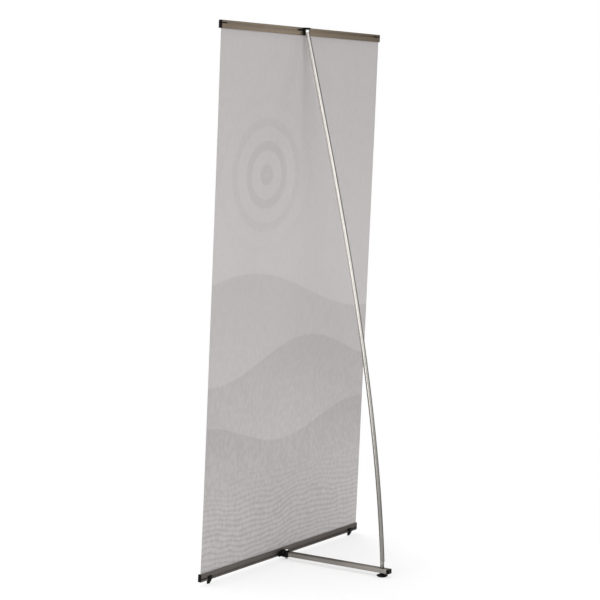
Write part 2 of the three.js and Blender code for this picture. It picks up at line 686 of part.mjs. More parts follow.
function disc(radius) {
  return new THREE.Shape().absarc(0, 0, radius, 0, 2 * Math.PI, false);
}

function alongPole(shape, low, high, steps, curveSegments) {
  return new THREE.ExtrudeGeometry(shape, { steps, curveSegments, extrudePath: new PoleLine(low, high) });
}

function poleTube(low, high, outer, bore, steps) {
  const ring = disc(outer);
  ring.holes.push(new THREE.Path().absarc(0, 0, bore, 0, 2 * Math.PI, true));
  return alongPole(ring, low, high, steps, 2 * ARC_STEPS);
}

// Places a piece turned round Z on the pole's centre line, along its slope there
function onPole(mesh, height) {
  const tangent = new PoleLine(height - POLE_RADIUS, height + POLE_RADIUS).getTangent(0.5);
  mesh.position.set(0, -poleForward(height), height);
  mesh.quaternion.setFromUnitVectors(Z_AXIS, tangent);
}

function poleTip() {
  const spigotLow = -TIP_SHOULDER - TIP_SPIGOT;
  const roomTop = -TIP_SHOULDER;
  const roomLow = roomTop - KNOT_ROOM;
  const dome = Array.from({ length: ARC_STEPS + 1 }, (_, k) => {
    const angle = (k / ARC_STEPS) * Math.PI / 2;
    return [POLE_RADIUS * Math.cos(angle), POLE_RADIUS * Math.sin(angle)];
  });
  dome[ARC_STEPS][0] = 0;
  const spigot = POLE_BORE_RADIUS - FIT;
  return turned([
    [0, roomTop], [KNOT_ROOM_RADIUS, roomTop], [KNOT_ROOM_RADIUS, roomLow], [CORD_HOLE_RADIUS, roomLow],
    [CORD_HOLE_RADIUS, spigotLow], [spigot, spigotLow], [spigot, -TIP_SHOULDER], [POLE_RADIUS, -TIP_SHOULDER],
  ].concat(dome), 4 * ARC_STEPS);
}

function cordAnchor() {
  const outer = POLE_BORE_RADIUS - FIT;
  return turned([[KNOT_ROOM_RADIUS, 0], [outer, 0], [outer, ANCHOR_LENGTH], [CORD_HOLE_RADIUS, ANCHOR_LENGTH],
    [CORD_HOLE_RADIUS, KNOT_ROOM], [KNOT_ROOM_RADIUS, KNOT_ROOM], [KNOT_ROOM_RADIUS, 0]]);
}

const anchorUp = poleFoot + PEG_SPIGOT + KNOT_ROOM;
const tipShoulderUp = tipPoint.z - TIP_SHOULDER - FIT;

// The elastic cord runs inside all three tubes, from a knot below the anchor to a knot in the tip
function shockCord() {
  const low = anchorUp + KNOT_ROOM / 2;
  const high = tipPoint.z - TIP_SHOULDER - KNOT_ROOM / 2;
  const knot = new THREE.SphereGeometry(KNOT_RADIUS, 2 * ARC_STEPS, ARC_STEPS);
  const knots = [low, high].map((height) => knot.clone().translate(0, -poleForward(height), height));
  return join(alongPole(disc(CORD_RADIUS), low, high, 3 * TUBE_STEPS, ARC_STEPS / 2), ...knots);
}

// Connector of the top rail: a plate on the back face and a roof with a round pocket for the pole's tip
function topConnector() {
  const half = CONNECTOR_WIDTH / 2;
  const stem = CONNECTOR_STEM / 2;
  const plate = alongY(roundedRectangle(-stem, -RAIL_HEIGHT, stem, 0, CONNECTOR_CORNER), CONNECTOR_PLATE);
  const roofShape = roundedRectangle(-half, FIT, half, ROOF_DEPTH, ROOF_CORNER);
  const roof = alongZ(roofShape, ROOF_THICKNESS).translate(0, 0, -ROOF_THICKNESS);
  const root = box([-half, FIT, -ROOF_THICKNESS], [half, ROOF_CORNER + FIT, 0]);
  const pocket = new THREE.SphereGeometry(POLE_RADIUS + FIT, TURN_STEPS, TURN_STEPS / 2);
  pocket.translate(0, TIP_REACH, tipUp - PANEL_LENGTH);
  return cut(
    join(plate.translate(0, FIT, 0), roof, root, tongue(CONNECTOR_TONGUE, -1, CONNECTOR_TONGUE_RISE)),
    pocket,
    fittingHole(LEFT * CONNECTOR_SCREW_SPACING / 2, CONNECTOR_PLATE, -GROOVE_UP),
    fittingHole(RIGHT * CONNECTOR_SCREW_SPACING / 2, CONNECTOR_PLATE, -GROOVE_UP),
  );
}

addRail('top', -1, 'anodised');
const bottomRail = addRail('bottom', 1, 'dark_anodised');
put(panel, 'banner_sheet', sheet(), 'sheet');
const footReach = RAIL_LENGTH / 2 - FOOT_INSET;
put(bottomRail, 'rail_foot_left', railFoot(), 'plastic').position.x = LEFT * footReach;
put(bottomRail, 'rail_foot_right', railFoot(), 'plastic').position.x = RIGHT * footReach;

put(panel, 'pivot_bracket', pivotBracket(), 'plastic').position.x = FITTING_OFFSET;
const bracketBack = FIT + BRACKET_PLATE;
for (const [name, end] of [['bracket_screw_left', LEFT], ['bracket_screw_right', RIGHT]]) {
  const x = FITTING_OFFSET + end * BRACKET_SCREW_SPACING / 2;
  addFittingScrew(panel, name, x, bracketBack, GROOVE_UP, 'black_steel');
}
put(swivel, 'pivot_pin', pivotPin(), 'steel');
put(swivel, 'pivot_washer_upper', washer(earOuter + FIT), 'steel');
put(swivel, 'pivot_washer_lower', washer(-washerOuter), 'steel');
put(swivel, 'pivot_nut', pivotNut(), 'steel');

put(arm, 'arm_knuckle', armKnuckle(), 'plastic');
put(arm, 'arm_tube', armTube(), 'anodised');
const rivet = put(arm, 'arm_rivet', armRivet(), 'steel');
rivet.rotation.y = Math.PI / 2;
rivet.position.y = ARM_START + PLUG_LENGTH / 2;
put(arm, 'arm_end_cap', armCap(), 'plastic');

put(pole, 'foot_disc', footDisc(), 'plastic');
put(pole, 'foot_pad', footPad(), 'rubber');
put(pole, 'foot_stud', footStud(), 'steel');
put(pole, 'pole_peg', polePeg(), 'bright');

const sectionRise = SECTION_SHARE * (tipShoulderUp - poleFoot);
const lowerJoint = poleFoot + sectionRise;
const upperJoint = lowerJoint + sectionRise;
const sections = [
  ['pole_lower', poleFoot + 2 * FIT, lowerJoint - FIT],
  ['pole_middle', lowerJoint, upperJoint - FIT],
  ['pole_upper', upperJoint, tipShoulderUp],
];
for (const [name, low, high] of sections) {
  put(pole, name, poleTube(low, high, POLE_RADIUS, POLE_BORE_RADIUS, TUBE_STEPS), 'bright');
}
for (const [name, height] of [['ferrule_lower', lowerJoint], ['ferrule_upper', upperJoint]]) {
  const low = height - FERRULE_LENGTH / 2;
  const outer = POLE_BORE_RADIUS - FIT;
  put(pole, name, poleTube(low, low + FERRULE_LENGTH, outer, FERRULE_BORE_RADIUS, ARC_STEPS / 2), 'steel');
}
onPole(put(pole, 'cord_anchor', cordAnchor(), 'plastic'), anchorUp);
onPole(put(pole, 'pole_tip', poleTip(), 'bright'), tipPoint.z);
put(pole, 'shock_cord', shockCord(), 'cord');

const connector = put(panel, 'top_connector', topConnector(), 'plastic');
connector.position.set(FITTING_OFFSET, 0, PANEL_LENGTH);
for (const [name, end] of [['connector_screw_left', LEFT], ['connector_screw_right', RIGHT]]) {
  const x = FITTING_OFFSET + end * CONNECTOR_SCREW_SPACING / 2;
  addFittingScrew(panel, name, x, CONNECTOR_TONGUE_RISE, PANEL_LENGTH - GROOVE_UP, 'black_steel');
}

const footprint = new THREE.Box3().setFromObject(stand, true).getCenter(new THREE.Vector3());
stand.position.y = -footprint.y;

export default stand;
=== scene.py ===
# %% [markdown]
# # Banner stand, seen from behind
#
# A printed banner is stretched between two clamp rails. An arm on the floor carries one bowed
# pole, which pushes the top rail up and keeps the print tight. This lesson dresses the packed
# model of the stand: it keeps its sizes and joints, and gives each piece the form and finish of
# the real one.
#
# The packed model is loaded first. All lengths are in metres, Z is up, X runs along the rails,
# and the print faces -Y.

import math

import bpy
from mathutils import Matrix, Vector


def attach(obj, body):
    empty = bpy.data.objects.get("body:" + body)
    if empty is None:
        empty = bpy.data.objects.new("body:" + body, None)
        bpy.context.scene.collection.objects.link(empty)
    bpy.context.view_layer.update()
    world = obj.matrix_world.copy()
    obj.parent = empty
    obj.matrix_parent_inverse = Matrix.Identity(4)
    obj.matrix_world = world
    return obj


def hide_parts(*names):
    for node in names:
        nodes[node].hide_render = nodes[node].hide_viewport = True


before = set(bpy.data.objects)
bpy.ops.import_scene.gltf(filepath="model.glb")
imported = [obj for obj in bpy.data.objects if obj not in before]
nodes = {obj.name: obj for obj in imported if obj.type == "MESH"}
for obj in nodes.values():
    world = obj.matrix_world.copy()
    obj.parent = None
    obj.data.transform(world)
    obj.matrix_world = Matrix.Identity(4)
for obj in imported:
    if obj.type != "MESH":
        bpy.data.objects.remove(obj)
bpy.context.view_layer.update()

# %% [markdown]
# The photograph was taken from behind the stand, a little above its middle, from about six
# metres away. A camera could be placed by eye, but here its place, direction and lens come from
# fitting a pinhole camera to the corners of the rails, the feet and the arm. The small shift
# stands for the crop of the picture.

# %% Camera
PHOTO_SIDE = 600
FOCAL_PIXELS = 1665.3
AIM_PIXEL = (299.8, 259.6)
SENSOR = 36.0
FARTHEST = 60
CAMERA_PLACE = Vector((5.0487, 3.4280, 1.5736))
CAMERA_AZIMUTH, CAMERA_ABOVE = math.radians(125.407), math.radians(3.992)


def direction(azimuth, above):
    """The way from the object towards a viewer. Azimuth 0 is the print's side, and 90 is +X."""
    across = math.cos(above)
    return Vector((math.sin(azimuth) * across, -math.cos(azimuth) * across, math.sin(above)))


def look(holder, towards):
    """Turns a camera or a lamp, which stands this way from the object, to look back at it."""
    holder.rotation_euler = (-towards).to_track_quat("-Z", "Y").to_euler()


lens = bpy.data.cameras.new("photo_camera")
lens.sensor_width, lens.lens = SENSOR, SENSOR * FOCAL_PIXELS / PHOTO_SIDE
lens.shift_x = (PHOTO_SIDE / 2 - AIM_PIXEL[0]) / PHOTO_SIDE
lens.shift_y = (AIM_PIXEL[1] - PHOTO_SIDE / 2) / PHOTO_SIDE
lens.clip_end = FARTHEST
camera = bpy.data.objects.new("photo_camera", lens)
camera.location = CAMERA_PLACE
look(camera, direction(CAMERA_AZIMUTH, CAMERA_ABOVE))
bpy.context.scene.collection.objects.link(camera)
bpy.context.scene.camera = camera
bpy.context.scene.view_settings.view_transform = "Standard"
print("camera", tuple(round(value, 3) for value in camera.location), "lens", round(lens.lens, 2))

# %% [markdown]
# A finish is a small program of nodes. Wiring each node by hand hides the arithmetic, so a small
# class does it here. A `Field` is one socket that varies over a surface. It can be added,
# subtracted and multiplied as a number can, and `step` turns a noise into patches, or a distance
# into an edge.


# %% Arithmetic on sockets
class Field:
    """A value that varies over a surface: one socket, with the usual arithmetic."""

    def __init__(self, program, socket):
        self.program, self.socket = program, socket

    def maths(self, operation, *values):
        settings, sockets = {"operation": operation}, dict(enumerate(values))
        return self.program.node("ShaderNodeMath", settings, sockets)

    def __add__(self, other):
        return self.maths("ADD", self, other)

    def __sub__(self, other):
        return self.maths("SUBTRACT", self, other)

    def __rsub__(self, other):
        return self.maths("SUBTRACT", other, self)

    def __mul__(self, other):
        return self.maths("MULTIPLY", self, other)

    __radd__, __rmul__ = __add__, __mul__

    def sine(self):
        return self.maths("SINE", self)

    def size(self):
        return self.maths("ABSOLUTE", self)

    def step(self, low, high, start=0.0, end=1.0):
        """Goes smoothly from start to end, as the field goes from low to high."""
        settings = {"interpolation_type": "SMOOTHSTEP"}
        sockets = {"Value": self, "From Min": low, "From Max": high, "To Min": start, "To Max": end}
        return self.program.node("ShaderNodeMapRange", settings, sockets)


print("a Field can", [name for name in vars(Field) if not name.startswith("__")])

# %% [markdown]
# A `Program` is a tree of nodes, for a material or for the world. Its method `node` adds any
# node, with its settings first and its sockets after them. A `Finish` is the program of a
# material. What varies over the surface is fed to the shader as a Field, and what is the same
# all over is set on the shader's own socket.


# %% Programs of nodes
MIX_SHARE, MIX_FIRST, MIX_SECOND, MIX_RESULT = 0, 6, 7, 2  # a Mix node's sockets for colours


class Program:
    """A tree of nodes, built up node by node."""

    def __init__(self, tree):
        self.tree = tree

    def node(self, kind, settings=None, sockets=None, out=0):
        made = self.tree.nodes.new(kind)
        for name, value in (settings or {}).items():
            setattr(made, name, value)
        for name, value in (sockets or {}).items():
            self.feed(made.inputs[name], value)
        return Field(self, made.outputs[out])

    def feed(self, socket, value):
        if isinstance(value, Field):
            self.tree.links.new(value.socket, socket)
        else:
            socket.default_value = value

    def rays(self):
        """1 where the camera, a metal or a glass looks, and 0 for light that falls on things."""
        camera_ray, glossy_ray, clear_ray = [
            self.node("ShaderNodeLightPath", out=name)
            for name in ("Is Camera Ray", "Is Glossy Ray", "Is Transmission Ray")]
        return camera_ray + glossy_ray + clear_ray


class Finish(Program):
    """A material on the principled shader."""

    def __init__(self, name, **constants):
        self.material = bpy.data.materials.new(name)
        self.material.use_nodes = True
        super().__init__(self.material.node_tree)
        self.shader = self.tree.nodes["Principled BSDF"]
        self.shade(**constants)

    def place(self, stretch=(1, 1, 1)):
        """Where a point of the surface is, in metres, each axis stretched by its factor."""
        coordinates = self.node("ShaderNodeTexCoord", out="Object")
        return self.node("ShaderNodeMapping", None, {"Vector": coordinates, "Scale": stretch})

    def axes(self, vector):
        return [self.node("ShaderNodeSeparateXYZ", None, {0: vector}, out=axis) for axis in "XYZ"]

    def noise(self, vector, scale=1.0, detail=2.0, roughness=0.5):
        sockets = {"Vector": vector, "Scale": scale, "Detail": detail, "Roughness": roughness}
        return self.node("ShaderNodeTexNoise", None, sockets)

    def blend(self, share, first, second):
        """The first colour where share is 0, and the second where it is 1."""
        sockets = {MIX_SHARE: share, MIX_FIRST: first, MIX_SECOND: second}
        return self.node("ShaderNodeMix", {"data_type": "RGBA"}, sockets, out=MIX_RESULT)

    def bump(self, height, strength, distance):
        sockets = {"Height": height, "Strength": strength, "Distance": distance}
        self.shade(Normal=self.node("ShaderNodeBump", None, sockets))

    def shade(self, **fields):
        for socket, field in fields.items():
            self.feed(self.shader.inputs[socket.replace("_", " ")], field)


def grey(level, warmth=0.0):
    """A linear grey, a little warmer or cooler than neutral."""
    return (level * (1 + warmth), level, level * (1 - warmth), 1)


print("programs and finishes are ready, and a mid grey is", grey(0.5))

# %% [markdown]
# The room is a pale floor and a white surround. The white behind the object is not more light:
# rays from the camera, and rays that a metal or a glass sends out, see a surround of strength 1,
# while the light that falls on the object is weaker. The floor is pale near the stand, so it
# keeps the shadow, and fades into that white.

# %% Floor and surround
ROOM_LIGHT = 0.45
FLOOR_RADIUS, FLOOR_CORNERS = 9.0, 96
FLOOR_GREYS = grey(0.93), grey(0.95)
FLOOR_FADE, FLOOR_SHARE = (0.3, 1.7), 0.6
CONTRAST = 0.3, 0.7  # most of a noise lies between these values

world = bpy.data.worlds.new("studio")
bpy.context.scene.world = world
world.use_nodes = True
surround = Program(world.node_tree)
sky = world.node_tree.nodes["Background"]
sky.inputs["Color"].default_value = (1, 1, 1, 1)
surround.feed(sky.inputs["Strength"], surround.rays() * (1 - ROOM_LIGHT) + ROOM_LIGHT)

pale = Finish("pale_floor", Roughness=0.9, Specular_IOR_Level=0.1)
spot = pale.place()
pale.shade(Base_Color=pale.blend(pale.noise(spot, scale=3.0).step(*CONTRAST), *FLOOR_GREYS))
far = pale.node("ShaderNodeVectorMath", {"operation": "LENGTH"}, {0: spot}, out="Value")
white = far.step(*FLOOR_FADE, FLOOR_SHARE, 1.0) * pale.rays()
whole = pale.node("ShaderNodeMixShader", None, {
    0: white, 1: Field(pale, pale.shader.outputs[0]), 2: pale.node("ShaderNodeEmission")})
pale.feed(pale.tree.nodes["Material Output"].inputs["Surface"], whole)

bpy.ops.object.select_all(action="DESELECT")
bpy.ops.mesh.primitive_circle_add(
    vertices=FLOOR_CORNERS, radius=FLOOR_RADIUS, fill_type="NGON")
floor = bpy.context.object
floor.name = "studio_floor"
floor.data.materials.append(pale.material)
print("floor", floor.name, "of radius", FLOOR_RADIUS, "with", pale.material.name)

# %% [markdown]
# The lamps are large and soft, as in a studio: one on the camera's side, one before the print
# and one above. The pole is a thin mirror that is bent one way only, so each lamp shows in it as
# a bright line: the lamp on the camera's side draws one, and a tall narrow lamp at the rails' end
# draws the other. The last is a weak lamp beside the stand, which the rails' flat backs mirror.

# %% Lamps
LAMPS_AIM = Vector((0, 0, 1))
LAMPS = {  # azimuth and height in degrees, distance, width and height in metres, and watts
    "lamp_behind": (152, 21, 5.5, 3.6, 2.8, 92),
    "lamp_end": (91, 4, 5.5, 1.5, 3.4, 116),
    "lamp_print_side": (-35, 36, 5.5, 2.6, 2.6, 100),
    "lamp_above": (60, 80, 5.0, 3.5, 3.5, 175),
    "lamp_beside": (-133, 6, 5.0, 1.2, 2.0, 16),
}


def soft_lamp(name, azimuth, above, distance, width, height, power):
    """A large soft lamp that looks at the middle of the stand."""
    lamp = bpy.data.lights.new(name, "AREA")
    lamp.shape, lamp.size, lamp.size_y, lamp.energy = "RECTANGLE", width, height, power
    holder = bpy.data.objects.new(name, lamp)
    towards = direction(math.radians(azimuth), math.radians(above))
    holder.location = LAMPS_AIM + towards * distance
    look(holder, towards)
    bpy.context.scene.collection.objects.link(holder)


for name, values in LAMPS.items():
    soft_lamp(name, *values)
print("lamps", list(LAMPS))

# %% [markdown]
# The finishes. Real parts are never one flat colour. Rolled and drawn metal has fine lines along
# its length, moulded plastic has a sparked grain, rubber is dull and dusty, and each has slow
# patches where it is a little lighter or shinier. So every finish mixes a fine pattern, which
# also feeds the bump, with a slow one.


# %% Metal, plastic and rubber
EDGE_TINT = (0.4, 0.4, 0.4, 1)
PATCHES, SCUFFS = 9.0, 35.0  # how many there are to a metre, roughly
PEAKS = 0.52, 0.78  # only the highest values of a noise
SCUFF_LIGHT, SCUFF_WARMTH = 1.9, 0.02
FINE_TONE, SLOW_TONE = 0.6, 0.4  # each pattern's share of the tone
FINE_DULL, SLOW_DULL = 0.16, 0.06  # the roughness that each pattern adds where it is full
SCUFF_DULL, SPARK_DULL, MOULDED_DULL = 0.14, 0.12, 0.08  # the last is what both usually add


def shaded(colour, factor):
    """The colour, lighter or darker by a factor."""
    return (*(channel * factor for channel in colour[:3]), 1)


def drawn_metal(name, colour, roughness, lines, wear=0.12):
    """Metal with fine lines along the axes whose stretch is small, and slow patches over them."""
    finish = Finish(name, Metallic=1.0, Specular_Tint=EDGE_TINT)
    fine = finish.noise(finish.place(lines), detail=3.0, roughness=0.65)
    slow = finish.noise(finish.place(), PATCHES, detail=3.0).step(*CONTRAST)
    tone = fine.step(*CONTRAST) * FINE_TONE + slow * SLOW_TONE
    finish.shade(
        Base_Color=finish.blend(tone, shaded(colour, 1 - wear), shaded(colour, 1 + wear)),
        Roughness=fine * FINE_DULL + slow * SLOW_DULL + (roughness - (FINE_DULL + SLOW_DULL) / 2),
    )
    finish.bump(fine, strength=0.12, distance=0.0002)
    return finish.material


def moulded(name, level, roughness, grain, depth):
    """Plastic or rubber with a fine even grain and slow scuffs."""
    finish = Finish(name, Specular_IOR_Level=0.07)
    sparks = finish.noise(finish.place(), grain, roughness=0.6)
    scuffs = finish.noise(finish.place(), SCUFFS, detail=4.0, roughness=0.7).step(*PEAKS)
    finish.shade(
        Base_Color=finish.blend(scuffs, grey(level), grey(level * SCUFF_LIGHT, SCUFF_WARMTH)),
        Roughness=scuffs * SCUFF_DULL + sparks * SPARK_DULL + (roughness - MOULDED_DULL),
    )
    finish.bump(sparks, strength=0.35, distance=depth)
    return finish.material


ALONG_X, ALONG_Y, EVENLY = (7, 2600, 2600), (2600, 7, 2600), (700, 700, 700)
finishes = {  # a metal's name, colour, roughness, and the stretch of its fine lines
    "top_rail": drawn_metal("satin_bronze_grey", (0.178, 0.147, 0.112), 0.42, ALONG_X),
    "bottom_rail": drawn_metal("dark_satin_grey", (0.130, 0.116, 0.107), 0.45, ALONG_X),
    "arm": drawn_metal("silver_grey_satin", (0.240, 0.223, 0.204), 0.42, ALONG_Y),
    "collar": drawn_metal("turned_aluminium", (0.22, 0.213, 0.2), 0.34, EVENLY),
    "steel": drawn_metal("plated_steel", grey(0.72, 0.01), 0.2, EVENLY, wear=0.05),
    "nut": drawn_metal("zinc_plated_steel", grey(0.3, 0.01), 0.36, EVENLY),
    "black_steel": drawn_metal("blackened_steel", grey(0.02), 0.42, EVENLY),
    "plastic": moulded("black_nylon", level=0.004, roughness=0.45, grain=1500.0, depth=0.00012),
    "rubber": moulded("black_rubber", level=0.016, roughness=0.8, grain=900.0, depth=0.0002),
}
print("finishes", sorted(finishes))

# %% [markdown]
# Helpers for modelling. An operator acts on all that is selected, and the loaded nodes are
# selected, so each piece starts from an empty selection. `pick` selects the faces that pass a
# test, as clicks would.


# %% Modelling helpers
def only(piece):
    """Leaves edit mode and makes this piece, if there is one, the only one that is selected."""
    if bpy.context.mode != "OBJECT":
        bpy.ops.object.mode_set(mode="OBJECT")
    bpy.ops.object.select_all(action="DESELECT")
    if piece:
        piece.select_set(True)
        bpy.context.view_layer.objects.active = piece


def pick(piece, test):
    """Selects in edit mode the faces that pass the test, and says how many they are."""
    bpy.ops.object.mode_set(mode="EDIT")
    bpy.ops.mesh.select_mode(type="FACE")
    bpy.ops.mesh.select_all(action="DESELECT")
    bpy.ops.object.mode_set(mode="OBJECT")
    chosen = [face for face in piece.data.polygons if test(face)]
    for face in chosen:
        face.select = True
    bpy.ops.object.mode_set(mode="EDIT")
    return len(chosen)


def modify(piece, kind, **settings):
    """Adds a modifier, sets it and applies it."""
    only(piece)
    modifier = piece.modifiers.new(kind.lower(), kind)
    for name, value in settings.items():
        setattr(modifier, name, value)
    bpy.ops.object.modifier_apply(modifier=modifier.name)


def smooth(piece, degrees=35):
    """Shades the piece smoothly, and keeps the edges sharp that turn by more than this."""
    only(piece)
    bpy.ops.object.shade_smooth_by_angle(angle=math.radians(degrees))


def settle(piece, matrix):
    """Puts the piece where the matrix says, and leaves its object at the origin."""
    only(piece)
    piece.matrix_world = matrix @ piece.matrix_world
    bpy.ops.object.transform_apply(location=True, rotation=True, scale=True)


def dress(piece, name, body, slot, finish, *stands_for):
    """Names a finished piece, gives it its finish and ties it to the frame."""
    piece.name = piece.data.name = name
    if finish is not None:
        piece.data.materials.clear()
        piece.data.materials.append(finishes[finish])
    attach(piece, body)
    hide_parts(*stands_for)
    return piece


print("helpers", [helper.__name__ for helper in (only, pick, modify, smooth, settle, dress)])

# %% [markdown]
# Two frames help to place things. The panel leans back by 3 degrees. The swivel line runs from
# the pin at the bottom rail to the tip of the pole. `box_in` measures a CAD node in such a frame,
# so that a piece modelled by hand takes its size and place from the solid that it stands for.

# %% Frames of the panel and of the swivel
LEAN = math.radians(3)
PANEL_POINT = Vector((0, -0.235698, 0.015))
PIN_POINT = Vector((0.010, -0.215225, 0.0235))
TIP_POINT = Vector((0.010, -0.120845, 1.986791))
swivel_line = TIP_POINT - PIN_POINT
swivel_lean = math.atan2(swivel_line.y, swivel_line.z)
PANEL = Matrix.Translation(PANEL_POINT) @ Matrix.Rotation(-LEAN, 4, "X")
SWIVEL = Matrix.Translation(PIN_POINT) @ Matrix.Rotation(-swivel_lean, 4, "X")


def box_in(matrix, node):
    """(lowest, highest) corner of a CAD node, measured in the frame that the matrix gives."""
    back = matrix.inverted()
    points = [back @ vertex.co for vertex in nodes[node].data.vertices]
    return (Vector(map(min, zip(*points))), Vector(map(max, zip(*points))))


print("bottom rail in the panel's frame", *box_in(PANEL, "bottom_rail_back"))

# %% [markdown]
# Most moulded and sawn pieces already have the right shape in the frame, but their edges are
# razor sharp. Real edges are broken by a file or rounded by a mould, and they catch the light.
# Each such piece is a copy of its node: its loose triangles are merged, flat areas are made one
# face again, and a bevel rounds the edges. The node itself is left alone.


# %% Pieces with broken edges
SAME_POINT = 1e-6
FLAT_TO, SHARP_FROM = math.radians(0.5), math.radians(38)


def rounded_copy(node, name, body, slot, finish, edge):
    """A copy of a CAD node with rounded edges, dressed and in the node's place."""
    piece = bpy.data.objects.new(name, nodes[node].data.copy())
    bpy.context.scene.collection.objects.link(piece)
    only(piece)
    bpy.ops.object.mode_set(mode="EDIT")
    bpy.ops.mesh.select_all(action="SELECT")
    bpy.ops.mesh.remove_doubles(threshold=SAME_POINT)
    bpy.ops.mesh.dissolve_limited(angle_limit=FLAT_TO)
    bpy.ops.object.mode_set(mode="OBJECT")
    if piece.data.has_custom_normals:
        bpy.ops.mesh.customdata_custom_splitnormals_clear()
    modify(piece, "BEVEL", width=edge, segments=2, limit_method="ANGLE", angle_limit=SHARP_FROM,
           use_clamp_overlap=True)
    smooth(piece)
    return dress(piece, name, body, slot, finish, node)


ROUNDED = [  # node, piece, body, slot, finish, and the width of the bevel
    ("top_rail_back", "top_rail_profile", "panel", "top_rail", "top_rail", 0.00025),
    ("bottom_rail_back", "bottom_rail_profile", "panel", "bottom_rail", "bottom_rail", 0.00025),
    ("top_rail_jaw", "top_rail_cover", "top_jaw", "top_rail", "top_rail", 0.0002),
    ("bottom_rail_jaw", "bottom_rail_cover", "bottom_jaw", "bottom_rail", "bottom_rail", 0.0002),
    ("top_end_cap_left", "top_cap_left", "panel", "black_plastic", "plastic", 0.0004),
    ("top_end_cap_right", "top_cap_right", "panel", "black_plastic", "plastic", 0.0004),
    ("bottom_end_cap_left", "bottom_cap_left", "panel", "black_plastic", "plastic", 0.0004),
    ("bottom_end_cap_right", "bottom_cap_right", "panel", "black_plastic", "plastic", 0.0004),
    ("rail_foot_left", "left_foot", "panel", "black_plastic", "plastic", 0.0005),
    ("rail_foot_right", "right_foot", "panel", "black_plastic", "plastic", 0.0005),
    ("pivot_bracket", "swivel_bracket", "panel", "black_plastic", "plastic", 0.0004),
    ("top_connector", "tip_connector", "panel", "black_plastic", "plastic", 0.0004),
    ("arm_knuckle", "arm_eye", "arm", "black_plastic", "plastic", 0.0005),
    ("arm_tube", "arm_profile", "arm", "arm_aluminium", "arm", 0.0003),
    ("arm_end_cap", "arm_plug", "arm", "black_plastic", "plastic", 0.0007),
    ("pole_peg", "pole_socket_peg", "arm", "pole_aluminium", "collar", 0.0003),
]
for row in ROUNDED:
    piece = rounded_copy(*row)
    print(piece.name, len(piece.data.polygons), "faces")

# %% [markdown]
# The pole is three round tubes that follow one bow, as a springy rod does when its foot is held
# and its tip is pushed forward. A cylinder would need bending, and a curve already follows the
# bow: each tube is a curve with a round bevel, made a mesh and given its wall.

# %% Pole
POLE_SEAT, POLE_TOP = 0.0695, TIP_POINT.z
POLE_X, POLE_Y = 0.010, 0.214275
POLE_RADIUS, POLE_WALL = 0.008, 0.001
BASE_SLOPE = 0.045
BOW_STEPS, ROUND_STEPS = 24, 10
TUBES = {  # lowest and highest point
    "lower": (0.0561, 0.69237), "middle": (0.69267, 1.32954), "upper": (1.32984, 1.98049)}


def pole_place(height):
    """The middle of the pole at a height."""
    rise = POLE_TOP - POLE_SEAT
    share, slope = (height - POLE_SEAT) / rise, BASE_SLOPE * rise
    reach = POLE_Y - TIP_POINT.y
    forward = slope * share + (reach - slope) * (3 * share**2 - share**3) / 2
    return Vector((POLE_X, POLE_Y - forward, height))


def pole_section(part, low, high):
    """One tube of the pole, along the bow from one height to another."""
    name = "pole_tube_" + part
    line = bpy.data.curves.new(name, "CURVE")
    line.dimensions, line.bevel_depth, line.bevel_resolution = "3D", POLE_RADIUS, ROUND_STEPS
    spline = line.splines.new("POLY")
    spline.points.add(BOW_STEPS)
    for index, point in enumerate(spline.points):
        point.co = (*pole_place(low + (high - low) * index / BOW_STEPS), 1)
    tube = bpy.data.objects.new(name, line)
    bpy.context.scene.collection.objects.link(tube)
    only(tube)
    bpy.ops.object.convert(target="MESH")
    tube = bpy.context.object
    modify(tube, "SOLIDIFY", thickness=POLE_WALL, offset=-1.0)
    smooth(tube)
    return dress(tube, name, "arm", "pole_aluminium", None, "pole_" + part)


sections = [pole_section(part, *ends) for part, ends in TUBES.items()]
print([(tube.name, len(tube.data.polygons)) for tube in sections])

# %% [markdown]
# Pins, screws, discs and plugs are turned pieces. On a lathe, a profile is turned round an axis,
# and here it is the same: one point is extruded from corner to corner of the profile, and the
# line is spun round. Spinning can turn a shape inside out, so its doubles are merged and its
# normals are then recalculated.


# %% Turning
def draw(profile):
    """Starts a mesh with one point, and extrudes it along (across, up) corners in the XZ plane."""
    only(None)
    bpy.ops.mesh.primitive_plane_add(size=0.001)
    bpy.ops.object.mode_set(mode="EDIT")
    bpy.ops.mesh.select_mode(type="VERT")
    bpy.ops.mesh.select_all(action="SELECT")
    bpy.ops.mesh.merge(type="CENTER")
    bpy.ops.transform.translate(value=(profile[0][0], 0, profile[0][1]))
    for (across, up), (next_across, next_up) in zip(profile, profile[1:]):
        move = (next_across - across, 0, next_up - up)
        bpy.ops.mesh.extrude_region_move(TRANSFORM_OT_translate={"value": move})


def heal():
    """In edit mode, merges what meets, points all faces outwards, and then leaves that mode."""
    bpy.ops.mesh.select_all(action="SELECT")
    bpy.ops.mesh.remove_doubles(threshold=SAME_POINT)
    bpy.ops.mesh.normals_make_consistent(inside=False)
    bpy.ops.object.mode_set(mode="OBJECT")


def turned(profile, steps=48):
    """Spins a profile of (radius, height) corners, in metres, round the Z axis."""
    draw(profile)
    bpy.ops.mesh.select_all(action="SELECT")
    bpy.ops.mesh.spin(steps=steps, angle=2 * math.pi, center=(0, 0, 0), axis=(0, 0, 1))
    heal()
    return bpy.context.object


def millimetres(*corners):
    """A profile given in millimetres, in metres."""
    return [(radius / 1000, height / 1000) for radius, height in corners]


print("helpers", [helper.__name__ for helper in (draw, heal, turned, millimetres)])

# %% [markdown]
# A turned piece often has a socket or a bore. It is cut out with a boolean: a prism of as many
# sides as the socket has, or of many sides for a round bore, is taken away from the piece.


# %% Sockets and bores
def carve(piece, cutter):
    """Cuts one piece out of another, and removes the cutter."""
    modify(piece, "BOOLEAN", object=cutter, operation="DIFFERENCE", solver="EXACT")
    bpy.data.objects.remove(cutter)


